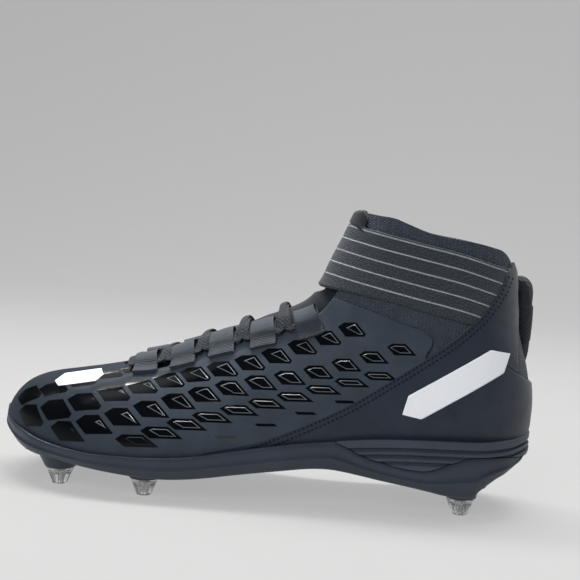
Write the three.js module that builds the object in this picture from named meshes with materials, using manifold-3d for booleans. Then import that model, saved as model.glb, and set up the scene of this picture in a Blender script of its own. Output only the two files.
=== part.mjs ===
// An american football cleat, left shoe: hollow knit upper, film skin over the vamp, heel quarter, ankle strap,
// tongue, ten lace loops, one lace, pull loop, insole, midsole, plate and seven studs.
// Millimetres: X runs from the heel to the toe, Y to the wearer's left (the outer side), Z up from the floor.
import * as THREE from "three";
import { mergeVertices } from "three/addons/utils/BufferGeometryUtils.js";
import Module from "manifold-3d";

const wasm = await Module();
wasm.setup();

// Driving dimensions of the whole shoe
const length = 317; // back of the sole to its toe tip
const ballWidth = 106; // over the upper at the ball of the foot
const studHeight = 10; // floor to the face that a stud screws against
const heelHeight = 32; // stud face to the seat of the heel
const instepHeight = 94; // stud face to the bend of the ankle
const collarHeight = 160; // stud face to the front of the collar

// Walls, layers and clearances
const clearance = 0.3;
const knitWall = 2.2;
const filmThickness = 1;
const strapThickness = 2;
const tongueThickness = 3;
const tongueLip = 5.4; // how far the top of the tongue stands out over the strap's edge
const insoleThickness = 3.6;
const skirtDepth = 4; // how far the upper's cover reaches down inside the rim of the sole
const bottomBevel = 4.5; // the plate's underside is this much narrower than its side
const rimInset = 1;
const ribPitch = 3.8;
const ribDepth = 1.2;

// Throat, lace loops and lace
const throatMargin = 1.2; // film skin to the edge of the throat
const tongueOverlap = 8; // tongue under each edge of the throat
const loopCount = 5;
const loopPitch = 24.3;
const loopWidth = 15;
const firstLoop = 19.5; // behind the front of the throat
const webbing = 1;
const loopTail = 13;
const laceWidth = 4.6;
const laceThickness = 1.4;
const laceLift = 4.5; // over the form where two runs cross

// Pull loop behind the heel
const pullRadius = 3.7;
const gripStep = 0.5;
const pullSides = 8;

// Studs
const studTopRadius = 8;
const studTipRadius = 4.5;
const toeStudHeight = 5.5;
const postRadius = 2.5;
const postLength = 3;
const bossRadius = 9.4;
const bossFlare = 3;
const bossHeight = 7;
const bossCover = 1.5; // sole left over a boss
const flutes = 6;

// A table as one object a row, under the names of its columns. Lengths in tables are per cent of the size that
// the column follows; `place` counts the rows of a table that has no column along the shoe.
function table(columns, rows) {
  return rows.map((row, place) => {
    const named = { place };
    columns.forEach((column, i) => (named[column] = row[i]));
    return named;
  });
}

// The form inside the upper, from the toe to above the collar. Each section is a slanted ring: its outer end lies
// on the sole or the back of the heel, its inner end on the instep or the front of the ankle.
// outX and inX are shares of the length; outSeat of the heel's height, outClimb of the way from there to the
// collar; inRise of the instep's height, and past 100 of the way from there to the collar. The half widths and the
// shift follow the ball's width, and widest is the share of the ring's height where it is widest.
const sections = table(
  ["outX", "outSeat", "outClimb", "inX", "inRise", "outer", "inner", "shift", "widest", "low", "top"],
  [
    [98.7, 75, 0, 98.7, 25.5, 0, 0, -7.5, 40, 2.2, 2.1],
    [98.4, 62, 0, 98.4, 32, 9.9, 10.2, -7.5, 42, 2.2, 2.1],
    [97.5, 53, 0, 97.5, 38, 16.4, 16.6, -7.5, 42, 2.3, 2.15],
    [95.6, 46, 0, 95.6, 45, 24.1, 24.1, -6.6, 40, 2.4, 2.2],
    [93.3, 38, 0, 93.3, 49.4, 30.2, 29.4, -5.7, 38, 2.5, 2.25],
    [90.2, 30, 0, 90.2, 52.6, 35.4, 33.4, -4.2, 36, 2.6, 2.25],
    [86, 22, 0, 86, 55.5, 40.6, 38.2, -2.8, 34, 2.7, 2.2],
    [81, 15, 0, 81, 59, 45, 42.4, -1.9, 32, 2.8, 2.1],
    [75.7, 12, 0, 75.7, 63.4, 46.6, 44.6, -0.9, 30, 2.9, 1.95],
    [69.4, 11, 0, 69.4, 70.4, 46.6, 44.2, 0, 28, 3, 1.8],
    [63, 14, 0, 63, 79.8, 44.8, 41.2, 0, 27, 3, 1.75],
    [56.8, 22, 0, 57, 89.4, 43.7, 37.7, 0, 27, 3, 1.75],
    [49.8, 31, 0, 51.4, 97.3, 40.8, 34, 0, 27, 3, 1.75],
    [42.3, 41, 0, 46.7, 106, 37.9, 31, 0, 27, 3, 1.8],
    [34, 48, 0, 43.5, 113.6, 35.5, 30, 0, 28, 3, 1.85],
    [25.9, 51, 0, 41.6, 121.2, 34, 30.7, 0, 30, 3, 1.9],
    [17.7, 53, 0, 40.4, 130, 33.4, 32, 0, 33, 2.9, 2],
    [10.4, 58, 0, 39.4, 138.6, 33.2, 32.8, 0, 36, 2.7, 2.1],
    [4.4, 70, 0, 38.6, 148.5, 32.8, 32.8, 0, 39, 2.5, 2.15],
    [1.2, 100, 0, 37.8, 157.6, 32.5, 32.5, 0, 41, 2.4, 2.2],
    [0.5, 100, 11.7, 37, 166, 31.7, 31.7, 0, 43, 2.35, 2.2],
    [0.6, 100, 22.7, 36.2, 174.2, 31, 31, 0, 44, 2.3, 2.2],
    [1.5, 100, 34.4, 35.5, 182.6, 30.2, 30.2, 0, 45, 2.3, 2.2],
    [2.9, 100, 46, 34.8, 190.2, 29.7, 29.7, 0, 46, 2.3, 2.2],
    [3.9, 100, 57.8, 34.2, 197, 29.2, 29.2, 0, 47, 2.3, 2.2],
    [4.5, 100, 69.5, 33.7, 204.5, 29, 29, 0, 48, 2.3, 2.2],
    [5.2, 100, 82.8, 33, 215.2, 28.8, 28.8, 0, 48, 2.3, 2.2],
    [5.8, 100, 97, 32.3, 233.3, 28.5, 28.5, 0, 48, 2.3, 2.2],
  ],
);

// Half widths of the sole seen from above, as shares of the ball's width
const soleOutline = table(
  ["x", "outer", "inner"],
  [
    [0, 4.7, 4.7],
    [0.5, 10.8, 10.8],
    [1.3, 16, 16],
    [2.5, 20.8, 20.8],
    [4.4, 26.4, 26.4],
    [6.9, 31, 31],
    [10, 34.8, 34.6],
    [14.5, 37, 36.6],
    [20.5, 38, 36.4],
    [28.4, 38.9, 34.8],
    [36.3, 40.2, 34],
    [44.2, 42.8, 35.6],
    [52, 45.8, 39.5],
    [60, 48.9, 44.5],
    [67.8, 50.9, 48.7],
    [74, 50.4, 50],
    [80.4, 47.5, 49],
    [86.8, 41, 45.5],
    [91.5, 34, 41.3],
    [95, 24.8, 35.8],
    [97.2, 16, 29.4],
    [98.7, 8.2, 22.2],
    [99.7, -1, 13.6],
    [100, -4.4, 10.4],
  ],
);

// Heights along the sole as shares of the heel's height: `feather` is where upper and sole meet, `floor` the bed
// that the foot stands on, `under` the lower edge, `split` the seam between midsole and plate.
const featherLine = table(
  ["x", "z"],
  [
    [0, 120],
    [1.6, 117],
    [3.8, 112],
    [8.6, 108],
    [15.6, 107],
    [24.6, 104],
    [31.2, 99],
    [36.4, 92],
    [43.3, 83],
    [52, 68],
    [58.3, 56],
    [63, 49],
    [67.9, 46],
    [76, 44],
    [79.3, 44],
    [84.8, 48],
    [89.2, 54],
    [93.7, 64],
    [97, 70],
    [100, 74],
  ],
);
const floorLine = table(
  ["x", "z"],
  [
    [0, 64],
    [6.3, 62],
    [15.8, 61],
    [25.2, 59],
    [34.7, 53],
    [44.2, 45],
    [53.6, 32],
    [63, 22],
    [69.4, 19],
    [75.7, 19],
    [81, 22],
    [86, 29],
    [90.2, 36],
    [94.6, 44],
    [100, 54],
  ],
);
const underLine = table(
  ["x", "z"],
  [
    [0, 100],
    [1.1, 85],
    [2, 66],
    [3.9, 50],
    [6.1, 38],
    [8.9, 18],
    [10.2, 6],
    [14.8, 8],
    [18.3, 14],
    [21.9, 20],
    [27.2, 28],
    [32.5, 37],
    [36, 41],
    [39.6, 40],
    [44.8, 33],
    [51.8, 23],
    [58.2, 13],
    [63, 8],
    [67, 7],
    [71.4, 9],
    [76.9, 13],
    [85, 20],
    [91.8, 25],
    [94.5, 31],
    [97.3, 43],
    [98.6, 50],
    [100, 60],
  ],
);
const splitLine = table(
  ["x", "z"],
  [
    [-1.6, 76],
    [2, 79],
    [10, 80],
    [13.2, 73],
    [18.6, 53],
    [22, 53],
    [25.7, 59],
    [30.6, 72],
    [33.5, 86],
    [36.4, 96],
    [41, 110],
  ],
);

// Lines on the side of the upper. Heights are shares of the instep's height, past 100 of the way to the collar.
const collarLine = table(
  ["x", "rise"],
  [
    [-9.5, 136],
    [3.2, 139],
    [5.2, 156],
    [6.3, 166],
    [7.6, 172],
    [9.5, 175],
    [12.3, 178],
    [15, 180],
    [18.3, 182],
    [21.5, 185],
    [24.6, 190],
    [27.4, 195],
    [30.6, 197],
    [34.7, 200],
    [47.3, 208],
  ],
);
const quarterSeam = table(
  ["x", "rise"],
  [
    [-9.5, 173],
    [3.8, 168],
    [6.7, 157],
    [8.4, 138],
    [11, 118],
    [12.9, 108],
    [15.6, 97],
    [19, 88],
    [23, 78],
    [28.4, 65],
    [33.8, 53],
    [41.8, 39],
    [50.3, 27],
    [60, 18],
    [63, 4],
  ],
);
const skinTop = table(
  ["x", "rise"],
  [
    [-9.5, 60],
    [17, 78],
    [20.2, 84],
    [19.4, 92],
    [19.4, 97],
    [20.7, 100.5],
    [25, 106],
    [29.3, 113],
    [35.2, 120],
    [38.2, 123],
    [40.7, 128],
    [44.2, 170],
  ],
);
const strapTop = table(
  ["x", "rise"],
  [
    [3.2, 153],
    [7.5, 158],
    [14.6, 168],
    [21.7, 175],
    [30.3, 183],
    [38, 190],
    [47.3, 196],
  ],
);
const strapLow = table(
  ["x", "rise"],
  [
    [8, 104],
    [13, 109],
    [20.9, 117],
    [26.6, 123],
    [32.4, 127],
    [36.3, 129],
    [47.3, 133],
  ],
);
const heelNotch = table(
  ["x", "rise"],
  [
    [-9.5, 70],
    [2.2, 70],
    [3.8, 73],
    [4.1, 85],
    [4.3, 120],
    [4.9, 131],
    [4.9, 151],
    [-9.5, 154],
  ],
);
const tongueTop = table(
  ["x", "rise"],
  [
    [25.2, 197],
    [30.6, 198],
    [32, 200],
    [33.4, 201],
    [34.4, 199],
    [35.3, 194],
    [47.3, 185],
  ],
);

// Half width of the throat behind its front end; `behind` is in shares of the throat's length
const throat = table(
  ["behind", "half"],
  [
    [0, 4.5],
    [3, 9.5],
    [9, 13],
    [20, 15],
    [45, 16.2],
    [65, 17.2],
    [80, 19],
    [100, 19.5],
  ],
);
const throatFront = 76.8; // where the throat starts, in shares of the length

// The pull loop's middle line behind the heel: x in shares of the length, rise as above
const pullLine = table(
  ["x", "rise"],
  [
    [6, 134],
    [4.1, 141],
    [2.5, 145],
    [1.5, 141],
    [1.4, 130],
    [1.4, 114],
    [1.5, 99],
    [1.6, 88],
    [2, 80],
    [3.2, 73],
  ],
);

// Where the studs stand: shares of the length and of the ball's width
const studPlaces = table(
  ["name", "x", "y", "short"],
  [
    ["stud_heel_outer", 12.3, 21.3, false],
    ["stud_heel_inner", 12.3, -21.3, false],
    ["stud_ball_outer", 69.4, 35, false],
    ["stud_ball_inner", 72, -34, false],
    ["stud_front_outer", 86, 25.8, false],
    ["stud_front_inner", 87, -28.5, false],
    ["stud_toe", 95.8, -8.4, true],
  ],
);

const share = (percent, size) => (percent / 100) * size;

// Height of a share of the instep, and past 100 per cent of the way from the instep to the collar
function riseHeight(percent) {
  const shaft = collarHeight - instepHeight;
  return studHeight + share(Math.min(percent, 100), instepHeight) + share(Math.max(percent - 100, 0), shaft);
}

// Smooth value of one column where `by` is `at`: a cubic between two rows, with slopes from their neighbours
function smooth(rows, by, column, at) {
  const last = rows.length - 1;
  let i = rows.findIndex((row) => row[by] > at) - 1;
  if (i === -1) return rows[0][column];
  if (i < 0) i = last - 1;
  const slope = (k) => {
    const before = rows[Math.max(k - 1, 0)];
    const after = rows[Math.min(k + 1, last)];
    return (after[column] - before[column]) / (after[by] - before[by]);
  };
  const span = rows[i + 1][by] - rows[i][by];
  const f = Math.min((at - rows[i][by]) / span, 1);
  const bend = f * f * (3 - 2 * f);
  const leave = f * (1 - f) * (1 - f) * slope(i) * span;
  const arrive = f * f * (1 - f) * slope(i + 1) * span;
  return rows[i][column] * (1 - bend) + rows[i + 1][column] * bend + leave - arrive;
}

// Height on one of the sole's lines
function soleHeight(line, x) {
  return studHeight + share(smooth(line, "x", "z", (x / length) * 100), heelHeight);
}

// One ring of the form at a place between two rows: its ends in the side view, half widths and corners. Its top
// stays above the rim of the sole, however low the instep is.
const noseLift = 0.8;
function ringAt(place) {
  const read = (column) => smooth(sections, "place", column, place);
  const climb = share(read("outClimb"), collarHeight - heelHeight);
  const topX = share(read("inX"), length);
  const rim = soleHeight(featherLine, topX) + noseLift;
  return {
    out: new THREE.Vector2(share(read("outX"), length), studHeight + share(read("outSeat"), heelHeight) + climb),
    top: new THREE.Vector2(topX, Math.max(riseHeight(read("inRise")), rim)),
    outer: share(read("outer"), ballWidth),
    inner: share(read("inner"), ballWidth),
    shift: share(read("shift"), ballWidth),
    widest: read("widest") / 100,
    low: read("low"),
    crown: read("top"),
  };
}

// A point of the form: `turn` goes from 0 under the foot, by 1 on top, to 2 back under it, the outer side first.
// Each quarter of a ring is a quarter of a superellipse.
function bareForm(place, turn) {
  const ring = ringAt(place);
  const way = turn > 1 ? 2 - turn : turn;
  const angle = Math.abs(way) * Math.PI;
  const side = turn > 1 || way < 0 ? -1 : 1;
  const half = side > 0 ? ring.outer : ring.inner;
  const flat = (value, corner) => Math.pow(Math.max(value, 0), 2 / corner);
  const lower = angle < Math.PI / 2;
  const corner = lower ? ring.low : ring.crown;
  const wide = flat(Math.sin(angle), corner);
  const up = lower
    ? ring.widest * (1 - flat(Math.cos(angle), corner))
    : ring.widest + (1 - ring.widest) * flat(-Math.cos(angle), corner);
  const x = ring.out.x + (ring.top.x - ring.out.x) * up;
  const z = ring.out.y + (ring.top.y - ring.out.y) * up;
  return new THREE.Vector3(x, ring.shift + side * half * wide, z);
}

// The form's outward direction, from two short steps on its surface
function formNormal(place, turn) {
  const step = 0.02;
  const along = bareForm(place + step, turn).sub(bareForm(place - step, turn));
  const round = bareForm(place, Math.min(turn + step, 2)).sub(bareForm(place, Math.max(turn - step, 0)));
  return along.cross(round).normalize();
}

function formPoint(place, turn, offset) {
  return bareForm(place, turn).addScaledVector(formNormal(place, turn), offset);
}

// Where a ring's upper quarter is `y` wide of its middle
function turnAtWidth(place, y, side) {
  const ring = ringAt(place);
  const half = side > 0 ? ring.outer : ring.inner;
  const sine = Math.pow(Math.min(y / half, 1), ring.crown / 2);
  const turn = 1 - Math.asin(sine) / Math.PI;
  return side > 0 ? turn : 2 - turn;
}

// A solid for joining and cutting, from closed geometry
function solid(geometry) {
  const bare = geometry.clone();
  bare.deleteAttribute("normal");
  bare.deleteAttribute("uv");
  const merged = mergeVertices(bare, 1e-4);
  const triVerts = new Uint32Array(merged.index.array);
  const vertProperties = merged.attributes.position.array;
  return new wasm.Manifold(new wasm.Mesh({ numProp: 3, vertProperties, triVerts }));
}

function geometryOf(made) {
  const mesh = made.getMesh();
  const geometry = new THREE.BufferGeometry();
  geometry.setAttribute("position", new THREE.BufferAttribute(mesh.vertProperties, 3));
  geometry.setIndex(new THREE.BufferAttribute(mesh.triVerts, 1));
  return geometry;
}

// A skin over rings of as many points each, closed at both ends by the triangles of `cap`, with its faces outward
function loft(rings, cap) {
  const count = rings[0].length;
  const points = rings.flat();
  const faces = [];
  for (let r = 0; r < rings.length - 1; r++)
    for (let k = 0; k < count; k++) {
      const a = r * count + k;
      const b = r * count + ((k + 1) % count);
      faces.push([a, b, b + count], [a, b + count, a + count]);
    }
  const end = (rings.length - 1) * count;
  cap.forEach(([a, b, c]) => faces.push([a, c, b], [a + end, b + end, c + end]));
  let volume = 0;
  faces.forEach(([a, b, c]) => (volume += points[a].dot(points[b].clone().cross(points[c]))));
  const index = volume < 0 ? faces.flatMap(([a, b, c]) => [a, c, b]) : faces.flat();
  const geometry = new THREE.BufferGeometry().setFromPoints(points);
  geometry.setIndex(index);
  return solid(geometry);
}

const squareCap = [
  [0, 1, 2],
  [0, 2, 3],
];

// Triangles of a flat outline of Vector2 points, which turn the way that the outline does
function capOf(outline) {
  const turn = (points) => Math.sign(THREE.ShapeUtils.area(points));
  const faces = THREE.ShapeUtils.triangulateShape(outline, []);
  const same = (face) => turn(face.map((k) => outline[k])) === turn(outline);
  return faces.map((face) => (same(face) ? face : [face[0], face[2], face[1]]));
}

// Triangles across a ring of the form: bands between its two sides, so that a bent ring still closes
function bandCap(count) {
  const faces = [];
  for (let low = 0, high = count - 1; low < high; low++, high--) {
    if (high - low > 1) faces.push([low, low + 1, high]);
    if (high - low > 2) faces.push([low + 1, high - 1, high]);
  }
  return faces;
}

// The form moved out, or in where `offset` is negative, as a closed solid
const ringPoints = 18;
function form(offset) {
  const rings = [];
  for (let place = 0.25; place <= sections.length - 1; place += place < 1 ? 0.75 : 1) {
    const ring = [];
    for (let k = 0; k < ringPoints; k++) ring.push(formPoint(place, (2 * k) / ringPoints, offset));
    rings.push(ring);
  }
  return loft(rings, bandCap(ringPoints));
}

// A side view outline, as a solid right across the shoe
function sidePrism(outline) {
  const depth = 2 * ballWidth;
  const geometry = new THREE.ExtrudeGeometry(new THREE.Shape(outline), { depth, bevelEnabled: false });
  geometry.rotateX(Math.PI / 2);
  geometry.translate(0, ballWidth, 0);
  return solid(geometry);
}

// Points of a line on the upper, moved along the shoe by `shift` and up by `lift`
function sideLine(line, shift = 0, lift = 0) {
  return line.map((row) => new THREE.Vector2(share(row.x, length) + shift, riseHeight(row.rise) + lift));
}

// Points along a line of the sole between two places
function solePoints(line, from, to, steps, lift) {
  const points = [];
  for (let i = 0; i <= steps; i++) {
    const x = from + ((to - from) * i) / steps;
    points.push(new THREE.Vector2(x, soleHeight(line, x) + lift));
  }
  return points;
}

// The skirt line at which the covers of the upper end inside the sole's rim, from the toe to the heel or back
const lineSteps = 12; // steps of a cut along the sole
const beyond = 20; // how far cutting solids reach past what they cut
function skirt(from, to) {
  const floor = solePoints(floorLine, from, to, lineSteps, clearance);
  return solePoints(featherLine, from, to, lineSteps, -skirtDepth).map((point, i) => {
    point.y = Math.max(point.y, floor[i].y);
    return point;
  });
}

// Throat: its front lies on the top of the form, its length runs back over the instep to the collar
const throatPlace = (() => {
  let place = 5;
  while (ringAt(place).top.x > share(throatFront, length)) place += 0.01;
  return place;
})();
const throatPath = [];
for (let place = throatPlace; place < sections.length - 1; place += 0.1) throatPath.push(place);
const throatReach = [0];
throatPath.slice(1).forEach((place, i) => {
  const step = ringAt(place).top.distanceTo(ringAt(throatPath[i]).top);
  throatReach.push(throatReach[i] + step);
});
const throatLength = throatReach[throatReach.length - 1];

// Place of the ring that is `distance` behind the throat's front
function placeBehind(distance) {
  let i = throatReach.findIndex((reach) => reach >= distance);
  if (i < 1) i = i < 0 ? throatReach.length - 1 : 1;
  const f = (distance - throatReach[i - 1]) / (throatReach[i] - throatReach[i - 1]);
  return throatPath[i - 1] + (throatPath[i] - throatPath[i - 1]) * f;
}

function throatHalf(distance) {
  return smooth(throat, "behind", "half", (100 * distance) / throatLength);
}

// A block that cuts the throat `margin` wider than it is, from inside the form to well outside it
function throatBlock(margin) {
  const steps = 18;
  const distances = [];
  for (let i = 0; i <= steps; i++) distances.push((throatLength * i * (i + steps)) / (2 * steps * steps));
  if (margin > 0) distances.unshift(-margin);
  const rings = distances.map((distance) => {
    const ring = ringAt(placeBehind(distance));
    const up = ring.top.clone().sub(ring.out).normalize();
    const half = throatHalf(Math.max(distance, 0)) + margin;
    const corner = (y, out) => {
      return new THREE.Vector3(ring.top.x + up.x * out, ring.shift + y, ring.top.y + up.y * out);
    };
    return [corner(half, beyond), corner(-half, beyond), corner(-half, -0.7 * beyond), corner(half, -0.7 * beyond)];
  });
  return loft(rings, squareCap);
}

// Layers, counted outward from the form: the knit lies inside it, films and straps outside
const filmInner = clearance;
const filmOuter = filmInner + filmThickness;
const strapOuter = filmInner + strapThickness;
const cupWall = filmOuter + clearance;

const filmLayer = form(filmOuter).subtract(form(filmInner));

function makeUpper() {
  const shell = form(0).subtract(form(-knitWall));
  const under = solePoints(floorLine, length + beyond, -beyond, lineSteps, clearance);
  const keep = sidePrism([...under, ...sideLine(collarLine), new THREE.Vector2(length + beyond, 2 * collarHeight)]);
  return shell.intersect(keep).subtract(throatBlock(0));
}

// Everything in front of the quarter's seam
function frontOfSeam() {
  const seam = sideLine(quarterSeam, clearance);
  const front = length + beyond;
  const high = 2 * collarHeight;
  const corners = [new THREE.Vector2(front, 0), new THREE.Vector2(front, high), new THREE.Vector2(seam[0].x, high)];
  return sidePrism([...seam, ...corners]);
}

// The film skin covers toe, vamp and the sides of the midfoot, up to the quarter's seam
function makeVampSkin() {
  const top = sideLine(skinTop);
  const front = new THREE.Vector2(length + beyond, top[top.length - 1].y);
  const area = [...top, front, ...skirt(length + beyond, -beyond)];
  return filmLayer.intersect(sidePrism(area)).intersect(frontOfSeam()).subtract(throatBlock(throatMargin));
}

// The quarter wraps the heel behind the seam, with a channel for the pull loop up its back
function makeQuarter() {
  const seam = sideLine(quarterSeam);
  const area = [...seam.slice(0, -2), ...skirt(seam[seam.length - 2].x - clearance, -beyond)];
  return filmLayer.intersect(sidePrism(area)).subtract(sidePrism(sideLine(heelNotch)));
}

// The strap goes round the front of the ankle and ends under the quarter's seam on both sides
function makeStrap() {
  const band = form(strapOuter).subtract(form(filmInner));
  const between = [...sideLine(strapLow), ...sideLine(strapTop).reverse()];
  return band.intersect(sidePrism(between)).intersect(frontOfSeam());
}

// The tongue lies under the edges of the throat, and its padded top stands out between them over the strap
function makeTongue() {
  const face = -knitWall - 2 * clearance;
  const low = form(face).subtract(form(face - tongueThickness));
  const below = [...sideLine(tongueTop), new THREE.Vector2(length, 0), new THREE.Vector2(share(25, length), 0)];
  const body = low.intersect(throatBlock(tongueOverlap)).intersect(sidePrism(below));
  const edge = sideLine(strapTop, 0, clearance);
  const overStrap = [...edge, new THREE.Vector2(edge[edge.length - 1].x, 2 * collarHeight)];
  overStrap.push(new THREE.Vector2(edge[0].x, 2 * collarHeight));
  const lip = form(face + tongueLip).subtract(form(face - tongueThickness / 2));
  const top = lip.intersect(sidePrism(overStrap)).intersect(sidePrism(below));
  return body.add(top.intersect(throatBlock(-2 * clearance)));
}

// The insole lies inside the knit, on the floor of the sole
function makeInsole() {
  const slab = [
    ...solePoints(floorLine, -beyond, length + beyond, lineSteps, clearance),
    ...solePoints(floorLine, length + beyond, -beyond, lineSteps, clearance + insoleThickness),
  ];
  return form(-knitWall - clearance).intersect(sidePrism(slab));
}

// One slice of the sole: half widths, and the heights of its underside, of the plate's side and of its top edge
function soleSlice(x) {
  const at = (x / length) * 100;
  const outer = share(smooth(soleOutline, "x", "outer", at), ballWidth);
  const inner = share(smooth(soleOutline, "x", "inner", at), ballWidth);
  const feather = soleHeight(featherLine, x);
  const plateTop = Math.min(feather, soleHeight(splitLine, x));
  return { outer, inner, under: soleHeight(underLine, x), feather, plateTop };
}

// A ring of the sole from a profile of [inset, height] pairs, which runs up the outer side and down the inner one
function soleRing(x, slice, profile) {
  const middle = (slice.outer - slice.inner) / 2;
  const half = (slice.outer + slice.inner) / 2;
  const limit = 0.6 * half;
  const point = (side, [inset, z]) => new THREE.Vector3(x, middle + side * (half - Math.min(inset, limit)), z);
  return [...profile.map((pair) => point(1, pair)), ...profile.map((pair) => point(-1, pair)).reverse()];
}

// The plate's side has a bevel and one long ridge, at these shares of the height that shows under the midsole
function plateProfile(slice) {
  const at = (part) => slice.under + (slice.plateTop - slice.under) * part;
  return [
    [bottomBevel, at(0)],
    [rimInset, at(0.34)],
    [0, at(0.43)],
    [rimInset, at(0.52)],
    [rimInset, at(0.8)],
    [rimInset, slice.feather],
  ];
}

// The midsole's side has a row of ribs under the feather line
const ribCount = 4;
function midsoleProfile(slice) {
  const profile = [[ribDepth, slice.feather - (ribCount + 1.2) * ribPitch]];
  for (let rib = ribCount; rib > 0; rib--) {
    const top = slice.feather - (rib - 1) * ribPitch;
    profile.push([ribDepth, top - 0.98 * ribPitch], [0, top - 0.66 * ribPitch], [0, top - 0.3 * ribPitch]);
  }
  profile.push([rimInset, slice.feather]);
  return profile;
}

function soleLoft(stations, profile) {
  const rings = stations.map((x) => {
    const slice = soleSlice(x);
    return soleRing(x, slice, profile(slice));
  });
  return loft(rings, bandCap(rings[0].length));
}

const soleStations = soleOutline.map((row) => share(row.x, length));

// The hollow in which the upper sits, down to the sole's floor
function makeCup() {
  const above = solePoints(floorLine, length + beyond, -beyond, lineSteps, 0);
  const space = [...above, new THREE.Vector2(-beyond, 2 * collarHeight)];
  space.push(new THREE.Vector2(length + beyond, 2 * collarHeight));
  return form(cupWall).intersect(sidePrism(space));
}

// Everything above the split line, which belongs to the midsole
function aboveSplit(lift) {
  const first = share(splitLine[0].x, length);
  const last = share(splitLine[splitLine.length - 1].x, length);
  const edge = solePoints(splitLine, first - beyond, last, lineSteps, lift);
  edge[0].y = edge[1].y;
  const high = studHeight + 2 * heelHeight;
  return sidePrism([...edge, new THREE.Vector2(last, high), new THREE.Vector2(first - beyond, high)]);
}

// A round body on the Z axis from [radius, height] pairs
function turned(profile, segments) {
  const points = profile.map(([radius, z]) => new THREE.Vector2(radius, z));
  return new THREE.LatheGeometry(points, segments).rotateX(Math.PI / 2);
}

// Where a stud screws in: the plate's stud face, or the toe's own
function studFace(stud) {
  const x = share(stud.x, length);
  const lowest = soleHeight(underLine, x - bossRadius) - clearance;
  return new THREE.Vector3(x, share(stud.y, ballWidth), stud.short ? lowest : studHeight);
}

function makeOutsole(cup) {
  let plate = soleLoft(soleStations, plateProfile).subtract(aboveSplit(0)).subtract(cup);
  studPlaces.forEach((stud) => {
    const { x, y, z } = studFace(stud);
    const roof = soleHeight(floorLine, x - bossRadius - bossFlare) - bossCover;
    const height = Math.min(bossHeight, roof - z);
    const boss = turned(
      [
        [0, 0],
        [bossRadius, 0],
        [bossRadius + bossFlare, height],
        [0, height],
      ],
      10,
    ).translate(x, y, z);
    const hole = turned(
      [
        [0, -1],
        [postRadius + clearance, -1],
        [postRadius + clearance, postLength + clearance],
        [0, postLength + clearance],
      ],
      6,
    ).translate(x, y, z);
    plate = plate.add(solid(boss)).subtract(solid(hole));
  });
  return plate;
}

function makeMidsole(cup) {
  const end = share(splitLine[splitLine.length - 1].x, length);
  const stations = soleStations.filter((x) => x < end).concat(end + clearance);
  return soleLoft(stations, midsoleProfile).intersect(aboveSplit(clearance)).subtract(cup);
}

// A stud: a fluted cone with a flat tip and a threaded post that goes into the plate
function makeStud(stud) {
  const face = studFace(stud);
  const height = stud.short ? toeStudHeight : studHeight;
  const shoulder = share(30, height);
  const ringOf = (radius, z, flute) => {
    const ring = [];
    for (let k = 0; k < 2 * flutes; k++) {
      const angle = (Math.PI * k) / flutes;
      const r = radius * (k % 2 ? 1 - flute : 1);
      ring.push(new THREE.Vector3(face.x + r * Math.cos(angle), face.y + r * Math.sin(angle), face.z + z));
    }
    return ring;
  };
  const outline = ringOf(1, 0, 0).map((point) => new THREE.Vector2(point.x, point.y));
  const rings = [
    ringOf(studTopRadius, -clearance, 0),
    ringOf(studTopRadius, -clearance - 0.8, 0),
    ringOf((studTopRadius + studTipRadius) / 2, -height + shoulder + 1, 0.12),
    ringOf(studTipRadius, -height, 0.06),
  ];
  const post = turned(
    [
      [0, -1],
      [postRadius, -1],
      [postRadius, postLength],
      [0, postLength],
    ],
    6,
  ).translate(face.x, face.y, face.z);
  return loft(rings, capOf(outline)).add(solid(post));
}

// A place beside the throat: `down` runs from its edge down the side of the form, or over the throat where it is
// negative, and `out` is the height over the form
function besideThroat(distance, down, out, side) {
  const place = placeBehind(distance);
  const step = -side * 0.004;
  let turn = turnAtWidth(place, throatHalf(distance) + throatMargin, side);
  let here = bareForm(place, turn);
  for (let left = down; left > 0; ) {
    const next = bareForm(place, turn + step);
    left -= next.distanceTo(here);
    turn += step;
    here = next;
  }
  const normal = formNormal(place, turn);
  if (down >= 0) return here.addScaledVector(normal, out);
  const inward = bareForm(place, turn - step).sub(here).normalize();
  return here.addScaledVector(normal, out).addScaledVector(inward, -down);
}

// A lace loop in [down, out] pairs: a strip that lies on the skin, turns over the lace and comes back on itself
const loopBase = filmOuter + 2.5 * clearance;
const loopTop = loopBase + 5.9;
const tailTop = loopBase + 2 * webbing + clearance;
const loopProfile = [
  [loopTail, loopBase],
  [-1.8, loopBase],
  [-4.2, loopBase + 1.2],
  [-4.6, loopBase + 3.2],
  [-3.2, loopTop - 0.9],
  [0.2, loopTop],
  [4.2, loopBase + 3.8],
  [8, tailTop],
  [loopTail, tailTop],
  [loopTail, tailTop - webbing],
  [7.6, tailTop - webbing],
  [3.8, loopBase + 2.6],
  [0, loopTop - webbing],
  [-2.6, loopTop - webbing - 0.7],
  [-3.6, loopBase + 3],
  [-3.3, loopBase + 1.9],
  [-1.5, loopBase + webbing],
  [loopTail, loopBase + webbing],
];
const loopHollow = (loopBase + loopTop) / 2; // middle of the room inside a loop
const loopCentre = (i) => firstLoop + i * loopPitch;

function makeLoop(i, side) {
  const outline = loopProfile.map(([down, out]) => new THREE.Vector2(down, out));
  const rings = [-0.5, 0, 0.5].map((part) =>
    loopProfile.map(([down, out]) => besideThroat(loopCentre(i) + part * loopWidth, down, out, side)),
  );
  return loft(rings, capOf(outline));
}

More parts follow.
